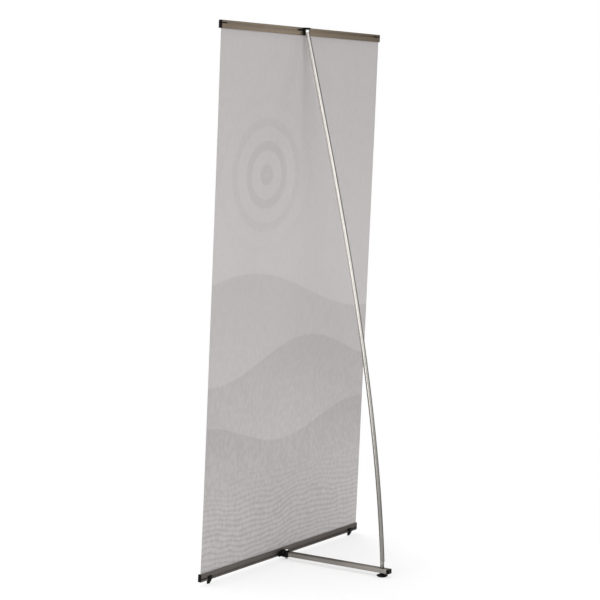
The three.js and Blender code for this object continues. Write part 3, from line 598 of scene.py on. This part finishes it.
def prism(sides, radius, low, high):
    """A prism round the Z axis, from one height to the other."""
    only(None)
    bpy.ops.mesh.primitive_cylinder_add(
        vertices=sides, radius=radius, depth=high - low, location=(0, 0, (low + high) / 2))
    bpy.ops.object.transform_apply(location=True, rotation=True, scale=True)
    return bpy.context.object


print("helpers", [helper.__name__ for helper in (carve, prism)])

# %% [markdown]
# The levelling foot is a black disc with a hub. People turn it by its rim, so the rim has small
# grip notches: after the spin, every other face of the rim is inset and pushed in. A rubber pad
# with two rings in its underside sits below it.

# %% Disc foot and its pad
FOOT_AXIS = Matrix.Translation((POLE_X, POLE_Y, 0))
DISC_STEPS, PAD_STEPS = 72, 64
RIM_INSIDE, NEARLY_LEVEL = 0.0203, 0.2
NOTCH_EDGE, NOTCH_DEPTH = 0.0002, 0.0005
disc = turned(millimetres(
    (0, 2.3), (14.3, 2.3), (14.3, 1.4), (14.5, 1.2), (16.8, 1.2), (17.2, 1.4), (20.2, 4.3),
    (20.5, 4.7), (20.5, 6.1), (20.2, 6.5), (17.5, 7.6), (17.2, 7.4), (16.6, 7.6), (16.3, 8.0),
    (13.2, 9.0), (8.6, 9.2), (8.0, 9.8), (8.0, 14.4), (7.5, 14.9), (4.5, 14.9), (4.2, 14.6),
    (4.2, 4.0), (0, 4.0)), DISC_STEPS)


def every_other(face):
    """Whether this is a face of the rim, which looks sideways, and one of every two."""
    on_rim = abs(face.normal.z) < NEARLY_LEVEL and math.hypot(*face.center.xy) > RIM_INSIDE
    turn = math.degrees(math.atan2(face.center.y, face.center.x))
    index = round(turn / (360 / DISC_STEPS) - 0.5)
    return on_rim and index % 2 == 0


notches = pick(disc, every_other)
bpy.ops.mesh.inset(thickness=NOTCH_EDGE, depth=-NOTCH_DEPTH, use_individual=True)
smooth(disc, degrees=40)
settle(disc, FOOT_AXIS)
dress(disc, "levelling_disc", "foot", "black_plastic", "plastic", "foot_disc")
pad = turned(millimetres(
    (0, 0.3), (3, 0.3), (3.4, 0), (6, 0), (6.4, 0.4), (7.2, 0.4), (7.6, 0), (10, 0), (10.4, 0.4),
    (11.2, 0.4), (11.6, 0), (13.7, 0), (14, 0.3), (14, 1.8), (13.8, 2), (0, 2)), PAD_STEPS)
smooth(pad)
settle(pad, FOOT_AXIS)
dress(pad, "grip_pad", "foot_pad_body", "grip_rubber", "rubber", "foot_pad")
print("notches", notches, "disc faces", len(disc.data.polygons))

# %% [markdown]
# The print is a thin sheet under tension. A flat plane looks dead: a real sheet draws in a little
# at its free edges and keeps faint ripples that fade out near the clamps. A grid gives enough
# points to move, and the ripples are a few sines under a millimetre deep.

# %% Print sheet
import numpy as np

SHEET_CELLS = 90, 180
TUCKED_IN, FREE_FROM = 0.012, 0.3
DRAWN_IN, RIPPLE_DEPTH = 0.0009, 0.001
RIPPLES = (  # share of the depth, waves across and up the sheet, and phase
    (0.35, 7.1, 2.0, 0.6), (0.22, 15.3, -3.1, 0.0), (0.30, 2.3, 5.0, 1.1))
CURL_SHARE, CURL_FROM, CURL_WIDTH = 0.9, 0.93, 0.07

sheet_low, sheet_high = box_in(PANEL, "banner_sheet")
sheet_size = sheet_high - sheet_low
only(None)
bpy.ops.mesh.primitive_grid_add(
    x_subdivisions=SHEET_CELLS[0], y_subdivisions=SHEET_CELLS[1], size=1)
sheet = bpy.context.object
sheet_middle = (sheet_low + sheet_high) / 2
sheet_middle.y = sheet_low.y
upright = Matrix.Rotation(math.pi / 2, 4, "X")
full_size = Matrix.Diagonal((sheet_size.x, sheet_size.z, 1, 1))
settle(sheet, Matrix.Translation(sheet_middle) @ upright @ full_size)

place = np.empty(len(sheet.data.vertices) * 3)
sheet.data.vertices.foreach_get("co", place)
place = place.reshape(-1, 3)
up = (place[:, 2] - sheet_low.z) / sheet_size.z
across = place[:, 0] / sheet_high.x
free = np.clip(np.minimum(up, 1 - up) * sheet_size.z - TUCKED_IN, 0, FREE_FROM) / FREE_FROM
ripples = sum(share * np.sin(across * wide + up * high + phase)
              for share, wide, high, phase in RIPPLES)
edge_curl = CURL_SHARE * np.clip(np.abs(across) - CURL_FROM, 0, 1) / CURL_WIDTH
place[:, 1] += RIPPLE_DEPTH * free * (ripples + edge_curl)
place[:, 0] -= DRAWN_IN * across * free * np.sin(np.pi * up)
sheet.data.vertices.foreach_set("co", place.ravel())
sheet.data.update()
settle(sheet, PANEL)
depth = round(float(np.ptp(place[:, 1])) * 1000, 2)
print("sheet", len(sheet.data.vertices), "points, ripples to", depth, "mm")

# %% [markdown]
# The decoration of the print is a plain one: soft dunes in the lower half, thin level lines at
# the foot and a few wide rings higher up, all in quiet greys. It is drawn with sines and smooth
# steps of the place in space, so it needs no picture, and the back shows it mirrored, as real
# show-through does.


# %% Decoration
CREST_EDGE, DUNE_FOOT = 0.004, 0.15
DUNES = (  # level, swing, waves and phase of the crest, how far it fades down, and its share
    (1.02, 0.085, 4.1, 0.4, 0.62, 0.34),
    (0.78, 0.07, 5.6, 2.1, 0.5, 0.34),
    (0.52, 0.05, 6.4, 4.4, 0.4, 0.36),
)
RINGS_MIDDLE, RINGS_WAVES, RINGS_EDGE = (0.2, -0.165, 1.46), 74, (0.1, 0.55)
RINGS_FADE, RINGS_SHARE = (0.06, 0.34), 0.3
LINES_DRIFT, LINES_SWAY, LINES_WAVES, LINES_EDGE = 0.07, (8.5, 0.012), 330, (-0.2, 0.7)
LINES_FADE, LINES_SHARE = (0.16, 0.44), 0.42


def dune(x, z, level, swing, waves, phase, depth):
    """A crest line across the sheet: full just below the crest, and fading out downwards."""
    below = level + (x * waves + phase).sine() * swing - z
    return below.step(-CREST_EDGE, CREST_EDGE) * below.step(0, depth, 1.0, DUNE_FOOT)


def motif(finish):
    """How dark the decoration is, from 0 to about 1."""
    spot = finish.place()
    x, _, z = finish.axes(spot)
    dunes = sum(dune(x, z, *shape) * share for *shape, share in DUNES)
    away = finish.node(
        "ShaderNodeVectorMath", {"operation": "DISTANCE"}, {0: spot, 1: RINGS_MIDDLE}, out="Value")
    rings = (away * RINGS_WAVES).sine().step(*RINGS_EDGE) * away.step(*RINGS_FADE, RINGS_SHARE, 0.0)
    sway_waves, sway = LINES_SWAY
    level = z + finish.noise(spot, scale=5.0) * LINES_DRIFT + (x * sway_waves).sine() * sway
    lines = (level * LINES_WAVES).sine().step(*LINES_EDGE) * z.step(*LINES_FADE, LINES_SHARE, 0.0)
    return dunes + rings + lines


print("decoration of", len(DUNES), "dunes, rings round", RINGS_MIDDLE, "and level lines")

# %% [markdown]
# The print itself. The back of a printed sheet is pale, because the ink shows through only faintly,
# and the front carries the full print. Both are a fine knit, with fibres that run upwards, slow
# clouds and a mottle, and both are darker in a narrow band along the side edges. Solidify gives the
# sheet its two sides, each with its own finish.


# %% Print finish
FIBRES, CLOUDS, MOTTLE = (240, 240, 14), (3, 3, 2), (80, 80, 45)  # stretch of each noise
KNIT_WAVES = 5200
SIDE_EDGE_BAND = 0.4945, 0.4985  # from the middle of the sheet, where its edge begins to darken
MOTTLE_FADE, TOP_SHADE = (0.2, 1.1), (1.1, 2.0)  # heights between which they change
STRONG = 0.35, 0.65  # a noise stepped between these has stronger patches than with CONTRAST
FIBRE_SHARE, CLOUD_SHARE, SIDE_EDGE_SHARE, TOP_SHARE = 0.26, 0.2, 0.5, 0.4  # of the tone
GRAIN_LEFT = 0.25  # how much of the grain is left higher up
TONE_OFF = 0.16  # taken off the tone, to keep it between the two colours
FIBRE_RELIEF, KNIT_RELIEF, FIBRE_DULL = 0.7, 0.3, 0.16


def print_side(name, light, dark, strength, grain, roughness, sheen):
    """One side of the print: the decoration at some strength, over the knit's own texture."""
    finish = Finish(name, Sheen_Weight=sheen, Sheen_Roughness=0.4)
    x, _, z = finish.axes(finish.place())
    fibres = finish.noise(finish.place(FIBRES), detail=4.0, roughness=0.7)
    cloud = finish.noise(finish.place(CLOUDS))
    mottle = finish.noise(finish.place(MOTTLE), detail=3.0).step(*STRONG) - 0.5
    tone = motif(finish) * strength + fibres * FIBRE_SHARE + cloud * CLOUD_SHARE
    tone = tone + mottle * z.step(*MOTTLE_FADE, grain, grain * GRAIN_LEFT)
    tone = tone + x.size().step(*SIDE_EDGE_BAND) * SIDE_EDGE_SHARE + z.step(*TOP_SHADE) * TOP_SHARE - TONE_OFF
    knit = (x * KNIT_WAVES).sine() * (z * KNIT_WAVES).sine()
    finish.shade(
        Base_Color=finish.blend(tone, light, dark),
        Roughness=fibres * FIBRE_DULL + (roughness - FIBRE_DULL / 2),
    )
    finish.bump(fibres * FIBRE_RELIEF + knit * KNIT_RELIEF, strength=0.10, distance=0.0002)
    return finish.material


finishes["print_front"] = print_side(
    "print_front", light=(0.64, 0.625, 0.61, 1), dark=(0.30, 0.295, 0.30, 1),
    strength=1.0, grain=0.12, roughness=0.55, sheen=0.0)
finishes["print_back"] = print_side(
    "print_back", light=(0.515, 0.487, 0.488, 1), dark=(0.379, 0.360, 0.359, 1),
    strength=1.2, grain=0.42, roughness=0.7, sheen=0.1)
dress(sheet, "print_sheet", "panel", "banner", "print_front", "banner_sheet")
sheet.data.materials.append(finishes["print_back"])
modify(sheet, "SOLIDIFY", thickness=sheet_size.y, offset=-1.0, material_offset=1,
       material_offset_rim=1)
smooth(sheet, degrees=60)
print("print sides", [slot.material.name for slot in sheet.material_slots])

# %% [markdown]
# The pole's finish is bright drawn aluminium. Its fine lines run along the tube, so the pattern
# can't be laid in straight space: each tube gets a map that unrolls it, with the way round the
# rim and the height, both in metres.


# %% Map of the tubes
def unroll(tube):
    """Gives a tube a map: the way round the rim, and the height."""
    layer = tube.data.uv_layers.new(name="unrolled")
    for face in tube.data.polygons:
        middle = math.atan2(face.center.y - pole_place(face.center.z).y, face.center.x - POLE_X)
        for loop in face.loop_indices:
            spot = tube.data.vertices[tube.data.loops[loop].vertex_index].co
            turn = math.atan2(spot.y - pole_place(spot.z).y, spot.x - POLE_X)
            turn += 2 * math.pi * round((middle - turn) / (2 * math.pi))
            layer.data[loop].uv = (turn * POLE_RADIUS, spot.z)


for tube in sections:
    unroll(tube)
print("unrolled", [tube.name for tube in sections])

# %% [markdown]
# The pole's colour isn't even all round. Low down it is painted darker, a painted shade in place of
# the dimmer reflection there; above that, one side gets a painted highlight, and the side away from
# it a painted shade. The map says which way a point of the tube faces, so each side is a smooth
# step round the rim.

# %% Pole finish
DRAWN_LINES, DIE_LINES, RUBS = (2400, 6, 1), (520, 5, 1), (60, 90, 1)  # stretch of each noise
RUB_PEAKS = 0.6, 0.72
DRAWN_TONE, DIE_TONE = 0.3, 0.7  # shares of the tone
DRAWN_DULL, RUBS_DULL, DIE_DULL = 0.14, 0.08, 0.05  # the roughness that each adds where it is full
TUBE_DULL = 0.1  # what the three usually add
# Where the tube's colour carries painted light: a painted shade low down and on one side, and a
# painted highlight on the other side.
SHADED_FOOT, HIGHLIGHT_FROM = (0.15, 0.65), (0.7, 1.0)  # heights between which they change
PAINTED_HIGHLIGHT_SIDE, PAINTED_SHADE_SIDE = (-42, 60), (110, 52)  # azimuth and half width, in degrees
BARE_TONES, FOOT_SHADE_TONES = (0.74, 1.2), (0.46, 0.88)  # factors on the tube's colour
HIGHLIGHT_TONE, PAINTED_SHADE_TONE = 2.6, 0.22  # and two more


def drawn_tube(name, colour, roughness):
    """Fine lines and wider die lines along the tube, rubbed spots, and painted light: a painted
    shade low down and on one side, and a painted highlight on the other.
    """
    finish = Finish(name, Metallic=1.0, Specular_Tint=EDGE_TINT)
    unrolled = finish.node("ShaderNodeUVMap", {"uv_map": "unrolled"})

    def along(stretch):
        stretched = finish.node("ShaderNodeMapping", None, {"Vector": unrolled, "Scale": stretch})
        return finish.noise(stretched, detail=3.0)

    lines, die_lines = along(DRAWN_LINES), along(DIE_LINES).step(*STRONG)
    rubs = along(RUBS).step(*RUB_PEAKS)
    tone = lines.step(*CONTRAST) * DRAWN_TONE + die_lines * DIE_TONE
    height = finish.axes(finish.place())[2]
    turn = finish.axes(unrolled)[0] * (1 / POLE_RADIUS)

    def side(towards, width):
        """1 where the tube faces this azimuth, and 0 from this many degrees away from it."""
        facing = (turn + math.radians(90 - towards)).sine()
        return facing.step(math.cos(math.radians(width)), 1)

    # The lower pole is painted darker: a painted shade in place of its dimmer reflection.
    bare, painted_foot_shade = [
        finish.blend(tone, shaded(colour, dark), shaded(colour, light))
        for dark, light in (BARE_TONES, FOOT_SHADE_TONES)]
    skin_and_painted_light = finish.blend(height.step(*SHADED_FOOT), painted_foot_shade, bare)
    # A painted highlight on one side of the upper pole.
    painted_highlight = side(*PAINTED_HIGHLIGHT_SIDE) * height.step(*HIGHLIGHT_FROM)
    skin_and_painted_light = finish.blend(painted_highlight, skin_and_painted_light, shaded(colour, HIGHLIGHT_TONE))
    # The side that faces away is painted darker: a painted shade.
    finish.shade(
        Base_Color=finish.blend(side(*PAINTED_SHADE_SIDE), skin_and_painted_light, shaded(colour, PAINTED_SHADE_TONE)),
        Roughness=(lines * DRAWN_DULL + rubs * RUBS_DULL + die_lines * DIE_DULL
                   + (roughness - TUBE_DULL)),
    )
    finish.bump(lines, strength=0.1, distance=0.0002)
    return finish.material


finishes["tube"] = drawn_tube("drawn_bright_tube", (0.36, 0.348, 0.325), 0.3)
for tube in sections:
    tube.data.materials.clear()
    tube.data.materials.append(finishes["tube"])
print("tubes in", finishes["tube"].name)

# %% [markdown]
# The tip of the pole is a metal plug: a dome that turns in the connector's pocket, a shoulder on
# the tube's end and a spigot inside it, bored for the elastic cord's knot. It sits along the
# bow's own slope.

# %% Pole tip
NEAR_TOP = 0.002
DOME_RADIUS = 8
slope = (pole_place(POLE_TOP) - pole_place(POLE_TOP - NEAR_TOP)).normalized()
leaning = slope.to_track_quat("Z", "X").to_matrix().to_4x4()
AT_TIP = Matrix.Translation(pole_place(POLE_TOP)) @ leaning
dome_turns = [math.radians(turn) for turn in range(0, 90, 10)]
dome = [(DOME_RADIUS * math.cos(turn), DOME_RADIUS * math.sin(turn)) for turn in dome_turns]
tip = turned(millimetres(
    (0, -6), (4.4, -6), (4.4, -15), (2.5, -15), (2.5, -30), (6.4, -30), (6.7, -29.7), (6.7, -6),
    (7.8, -6), (8, -5.8), (8, -4.4), (7.7, -4.2), (7.7, -3.6), (8, -3.4), *dome, (0, DOME_RADIUS)))
smooth(tip, degrees=40)
settle(tip, AT_TIP)
dress(tip, "tip_plug", "arm", "pole_aluminium", "steel", "pole_tip")
print("tip", len(tip.data.polygons), "faces")

# %% [markdown]
# Small screws hold the bracket and the connector in the rails' grooves. A pan-head screw is
# turned and its cross recess is cut with two tapered blades. The bracket's screws and the
# connector's differ in length, so each pair has its own model, and the two screws of a pair are
# copies of it, each with its own mesh.


# %% Pan-head screws
HEAD_HIGH, SCREW_STEPS = 2, 32
BLADE_SIZE, BLADE_TAPER, BLADE_HEIGHT = (0.0009, 0.0042, 0.002), (0.6, 0.45, 1), 0.0018
RECESS_TURN, LEFT_TURN = 0.4, 0.7


def blade(turn):
    """A tapered blade that cuts one slot of the cross recess."""
    only(None)
    bpy.ops.mesh.primitive_cube_add(size=1, location=(0, 0, BLADE_HEIGHT), scale=BLADE_SIZE)
    cutter = bpy.context.object
    pick(cutter, lambda face: face.normal.z < -0.5)
    bpy.ops.transform.resize(value=BLADE_TAPER)
    settle(cutter, Matrix.Rotation(turn, 4, "Z"))
    return cutter


def pan_screw(length):
    """A pan-head screw that points down, with a shank of this many millimetres."""
    screw = turned(millimetres(
        (0, -length), (1.5, -length), (1.8, 0.3 - length), (1.8, 0), (3.4, 0), (3.6, 0.2),
        (3.6, 0.9), (3.4, 1.4), (2.9, 1.8), (2.2, HEAD_HIGH), (0, HEAD_HIGH)), SCREW_STEPS)
    for turn in (RECESS_TURN, RECESS_TURN + math.pi / 2):
        carve(screw, blade(turn))
    smooth(screw, degrees=40)
    return screw


def own_copy(piece):
    """A copy with a mesh of its own."""
    copy = piece.copy()
    copy.data = piece.data.copy()
    bpy.context.scene.collection.objects.link(copy)
    return copy


for part in ("bracket", "connector"):
    low, high = box_in(PANEL, part + "_screw_left")
    model = pan_screw((high.y - low.y) * 1000 - HEAD_HIGH)
    for side, own_turn in (("left", LEFT_TURN), ("right", 0)):
        low, high = box_in(PANEL, f"{part}_screw_{side}")
        middle = (low + high) / 2
        seat = Matrix.Translation((middle.x, high.y - HEAD_HIGH / 1000, middle.z))
        lying, turned_in = Matrix.Rotation(-math.pi / 2, 4, "X"), Matrix.Rotation(own_turn, 4, "Z")
        screw = own_copy(model)
        settle(screw, PANEL @ seat @ lying @ turned_in)
        dress(screw, f"{part}_pan_screw_{side}", "panel", "black_screws", "black_steel",
              f"{part}_screw_{side}")
    bpy.data.objects.remove(model)
    print(part, "screws", len(screw.data.polygons), "faces each")

# %% [markdown]
# The swivel turns on a bright pin: a low dome with a hexagon socket above, and a thread below.
# The thread hides inside the nut but for its end, so plain ridges stand for it. A washer lies on
# each side of the bracket's ears.

# %% Swivel pin and washers
RIDGES, RIDGE_DEPTH, RIDGE_STEP = 14, 0.35, 0.5
DOME_HIGH, SOCKET_RADIUS = 3, 0.0019
SOCKET_FROM, SOCKET_TO = 1.1, 5  # millimetres above the head's underside
pin_low, pin_high = (corner.z * 1000 for corner in box_in(SWIVEL, "pivot_pin"))
head = pin_high - DOME_HIGH
ridges = [(3.0 - RIDGE_DEPTH * (step % 2), pin_low + 0.4 + RIDGE_STEP * step)
          for step in range(RIDGES)]
pin = turned(millimetres(
    (0, pin_low), (2.6, pin_low), *ridges, (3.0, pin_low + 7.6), (3.0, head), (4.8, head),
    (5, head + 0.2), (5, head + 1.3), (4.6, head + 2.1), (3.8, head + 2.6), (2.6, head + 2.9),
    (0, head + DOME_HIGH)))
carve(pin, prism(6, SOCKET_RADIUS, (head + SOCKET_FROM) / 1000, (head + SOCKET_TO) / 1000))
smooth(pin, degrees=40)
settle(pin, SWIVEL)
dress(pin, "swivel_pin", "panel", "steel_parts", "steel", "pivot_pin")

for side in ("upper", "lower"):
    low, high = (corner.z * 1000 for corner in box_in(SWIVEL, "pivot_washer_" + side))
    washer = turned(millimetres(
        (3.3, low + 0.1), (3.4, low), (6.4, low), (6.6, low + 0.2), (6.6, high - 0.2), (6.4, high),
        (3.4, high), (3.3, high - 0.1), (3.3, low + 0.1)))
    smooth(washer, degrees=40)
    settle(washer, SWIVEL)
    dress(washer, "swivel_washer_" + side, "panel", "steel_parts", "steel",
          "pivot_washer_" + side)
print("pin", len(pin.data.polygons), "washer", len(washer.data.polygons), "faces")

# %% [markdown]
# The nut below is of duller, zinc-plated steel. It is a six-sided prism, and its corners are
# taken off by a turned double cone, as on the real nut. A round bore lets the pin through.

# %% Swivel nut
NUT_RADIUS, BORE_RADIUS, BORE_STEPS, BORE_OVER = 0.0058, 0.0033, 32, 0.002
CONE_INSIDE, CONE_OUTSIDE, CONE_RISE, CONE_OVER = 4.3, 6.6, 1.3, 1
low, high = (corner.z * 1000 for corner in box_in(SWIVEL, "pivot_nut"))
nut = prism(6, NUT_RADIUS, low / 1000, high / 1000)
cone = turned(millimetres(
    (0, low - CONE_OVER), (CONE_INSIDE, low - CONE_OVER), (CONE_OUTSIDE, low + CONE_RISE),
    (CONE_OUTSIDE, high - CONE_RISE), (CONE_INSIDE, high + CONE_OVER), (0, high + CONE_OVER)))
modify(nut, "BOOLEAN", object=cone, operation="INTERSECT", solver="EXACT")
bpy.data.objects.remove(cone)
carve(nut, prism(BORE_STEPS, BORE_RADIUS, low / 1000 - BORE_OVER, high / 1000 + BORE_OVER))
smooth(nut, degrees=25)
settle(nut, SWIVEL)
dress(nut, "swivel_nut", "panel", "steel_parts", "nut", "pivot_nut")
print("nut", len(nut.data.polygons), "faces")

# %% [markdown]
# A blind rivet holds the arm's tube on its black eye. Its ends are low domes with the small pit
# that the pulled pin leaves. It is turned upright and then laid across the arm.

# %% Rivet
RIVET_STEPS = 32
low, high = box_in(Matrix(), "arm_rivet")
top = (high.x - low.x) * 500
rivet = turned(millimetres(
    (0, 0.5 - top), (0.9, 0.5 - top), (1.1, -top), (2.1, -top), (3.1, 0.45 - top),
    (3.6, 1.1 - top), (2, 1.1 - top), (2, top - 1.1), (3.6, top - 1.1), (3.1, top - 0.45),
    (2.1, top), (1.1, top), (0.9, top - 0.5), (0, top - 0.5)), RIVET_STEPS)
smooth(rivet, degrees=40)
settle(rivet, Matrix.Translation((low + high) / 2) @ Matrix.Rotation(math.pi / 2, 4, "Y"))
dress(rivet, "arm_blind_rivet", "arm", "steel_parts", "collar", "arm_rivet")
print("rivet", len(rivet.data.polygons), "faces,", round(2 * top, 1), "mm long")

# %% [markdown]
# The levelling foot hangs on a threaded stud. A thread could be stacked from rings, but a real
# one climbs: one tooth is wound up by a Screw modifier, and both ends are cut flat and closed
# with bisect.

# %% Threaded stud
PITCH, THREAD_STEPS, SPARE_TURNS = 0.00125, 24, 3
ROOT_RADIUS, CREST_RADIUS = 0.0033, 0.0039
CREST_FROM, CREST_TO = 0.45, 0.55  # shares of the pitch
low, high = (corner.z for corner in box_in(Matrix(), "foot_stud"))
start = low - SPARE_TURNS / 2 * PITCH
draw([(ROOT_RADIUS, start), (CREST_RADIUS, start + CREST_FROM * PITCH),
      (CREST_RADIUS, start + CREST_TO * PITCH), (ROOT_RADIUS, start + PITCH)])
bpy.ops.object.mode_set(mode="OBJECT")
stud = bpy.context.object
modify(stud, "SCREW", angle=2 * math.pi, screw_offset=PITCH,
       iterations=int((high - low) / PITCH) + SPARE_TURNS, steps=THREAD_STEPS,
       render_steps=THREAD_STEPS, use_merge_vertices=True, merge_threshold=SAME_POINT)
bpy.ops.object.mode_set(mode="EDIT")
for end, outward in ((low, -1), (high, 1)):
    bpy.ops.mesh.select_all(action="SELECT")
    bpy.ops.mesh.bisect(plane_co=(0, 0, end), plane_no=(0, 0, outward), use_fill=True,
                        clear_outer=True, threshold=1e-7)
heal()
smooth(stud, degrees=25)
settle(stud, FOOT_AXIS)
dress(stud, "foot_thread", "foot", "steel_parts", "steel", "foot_stud")
print("stud", len(stud.data.polygons), "faces, threads", round((high - low) / PITCH, 1))

# %% [markdown]
# What is left are pieces whose shape in the frame is already right, and that hide inside: the
# rubber strips that grip the sheet, the sleeves that join the tubes, and the elastic cord with
# its anchor. They keep their solids and get their own finishes.


# %% Finishes of the hidden pieces
RIB_WAVES, RIB_EDGE = 9000, (-0.6, 0.6)
DUST, DUST_EDGE, DUST_DULL, RIBBED_DULL = 60.0, (0.4, 0.8), 0.1, 0.75
BRAID_ROUND, BRAID_UP, BRAID_EDGE = 3000, 2200, (-0.5, 0.5)


def ribbed_rubber():
    """Black rubber with fine ribs along the strip."""
    finish = Finish("ribbed_rubber")
    _, _, z = finish.axes(finish.place())
    ribs = (z * RIB_WAVES).sine().step(*RIB_EDGE)
    dust = finish.noise(finish.place(), DUST, detail=4.0, roughness=0.7).step(*DUST_EDGE)
    finish.shade(
        Base_Color=finish.blend(dust, grey(0.018), grey(0.034)),
        Roughness=dust * DUST_DULL + RIBBED_DULL,
    )
    finish.bump(ribs, strength=0.5, distance=0.0003)
    return finish.material


def braided_cord():
    """A dark braid: two families of threads that cross round the cord."""
    finish = Finish("braided_cord", Roughness=0.85)
    x, y, z = finish.axes(finish.place())
    rising = ((x + y) * BRAID_ROUND + z * BRAID_UP).sine()
    falling = ((x - y) * BRAID_ROUND - z * BRAID_UP).sine()
    plait = rising * falling
    finish.shade(Base_Color=finish.blend(plait.step(*BRAID_EDGE), grey(0.012), grey(0.05)))
    finish.bump(plait, strength=0.5, distance=0.0003)
    return finish.material


finishes["ribbed"], finishes["braid"] = ribbed_rubber(), braided_cord()
HIDDEN = {
    "ribbed": ("top_grip_back", "top_grip_front", "bottom_grip_back", "bottom_grip_front"),
    "steel": ("ferrule_lower", "ferrule_upper"),
    "plastic": ("cord_anchor",),
    "braid": ("shock_cord",),
}
for finish, names in HIDDEN.items():
    for name in names:
        nodes[name].material_slots[0].material = finishes[finish]
    print(finish, names)

# %% [markdown]
# Every piece now rides on its body of the model. Dressing the stand mustn't make it larger.
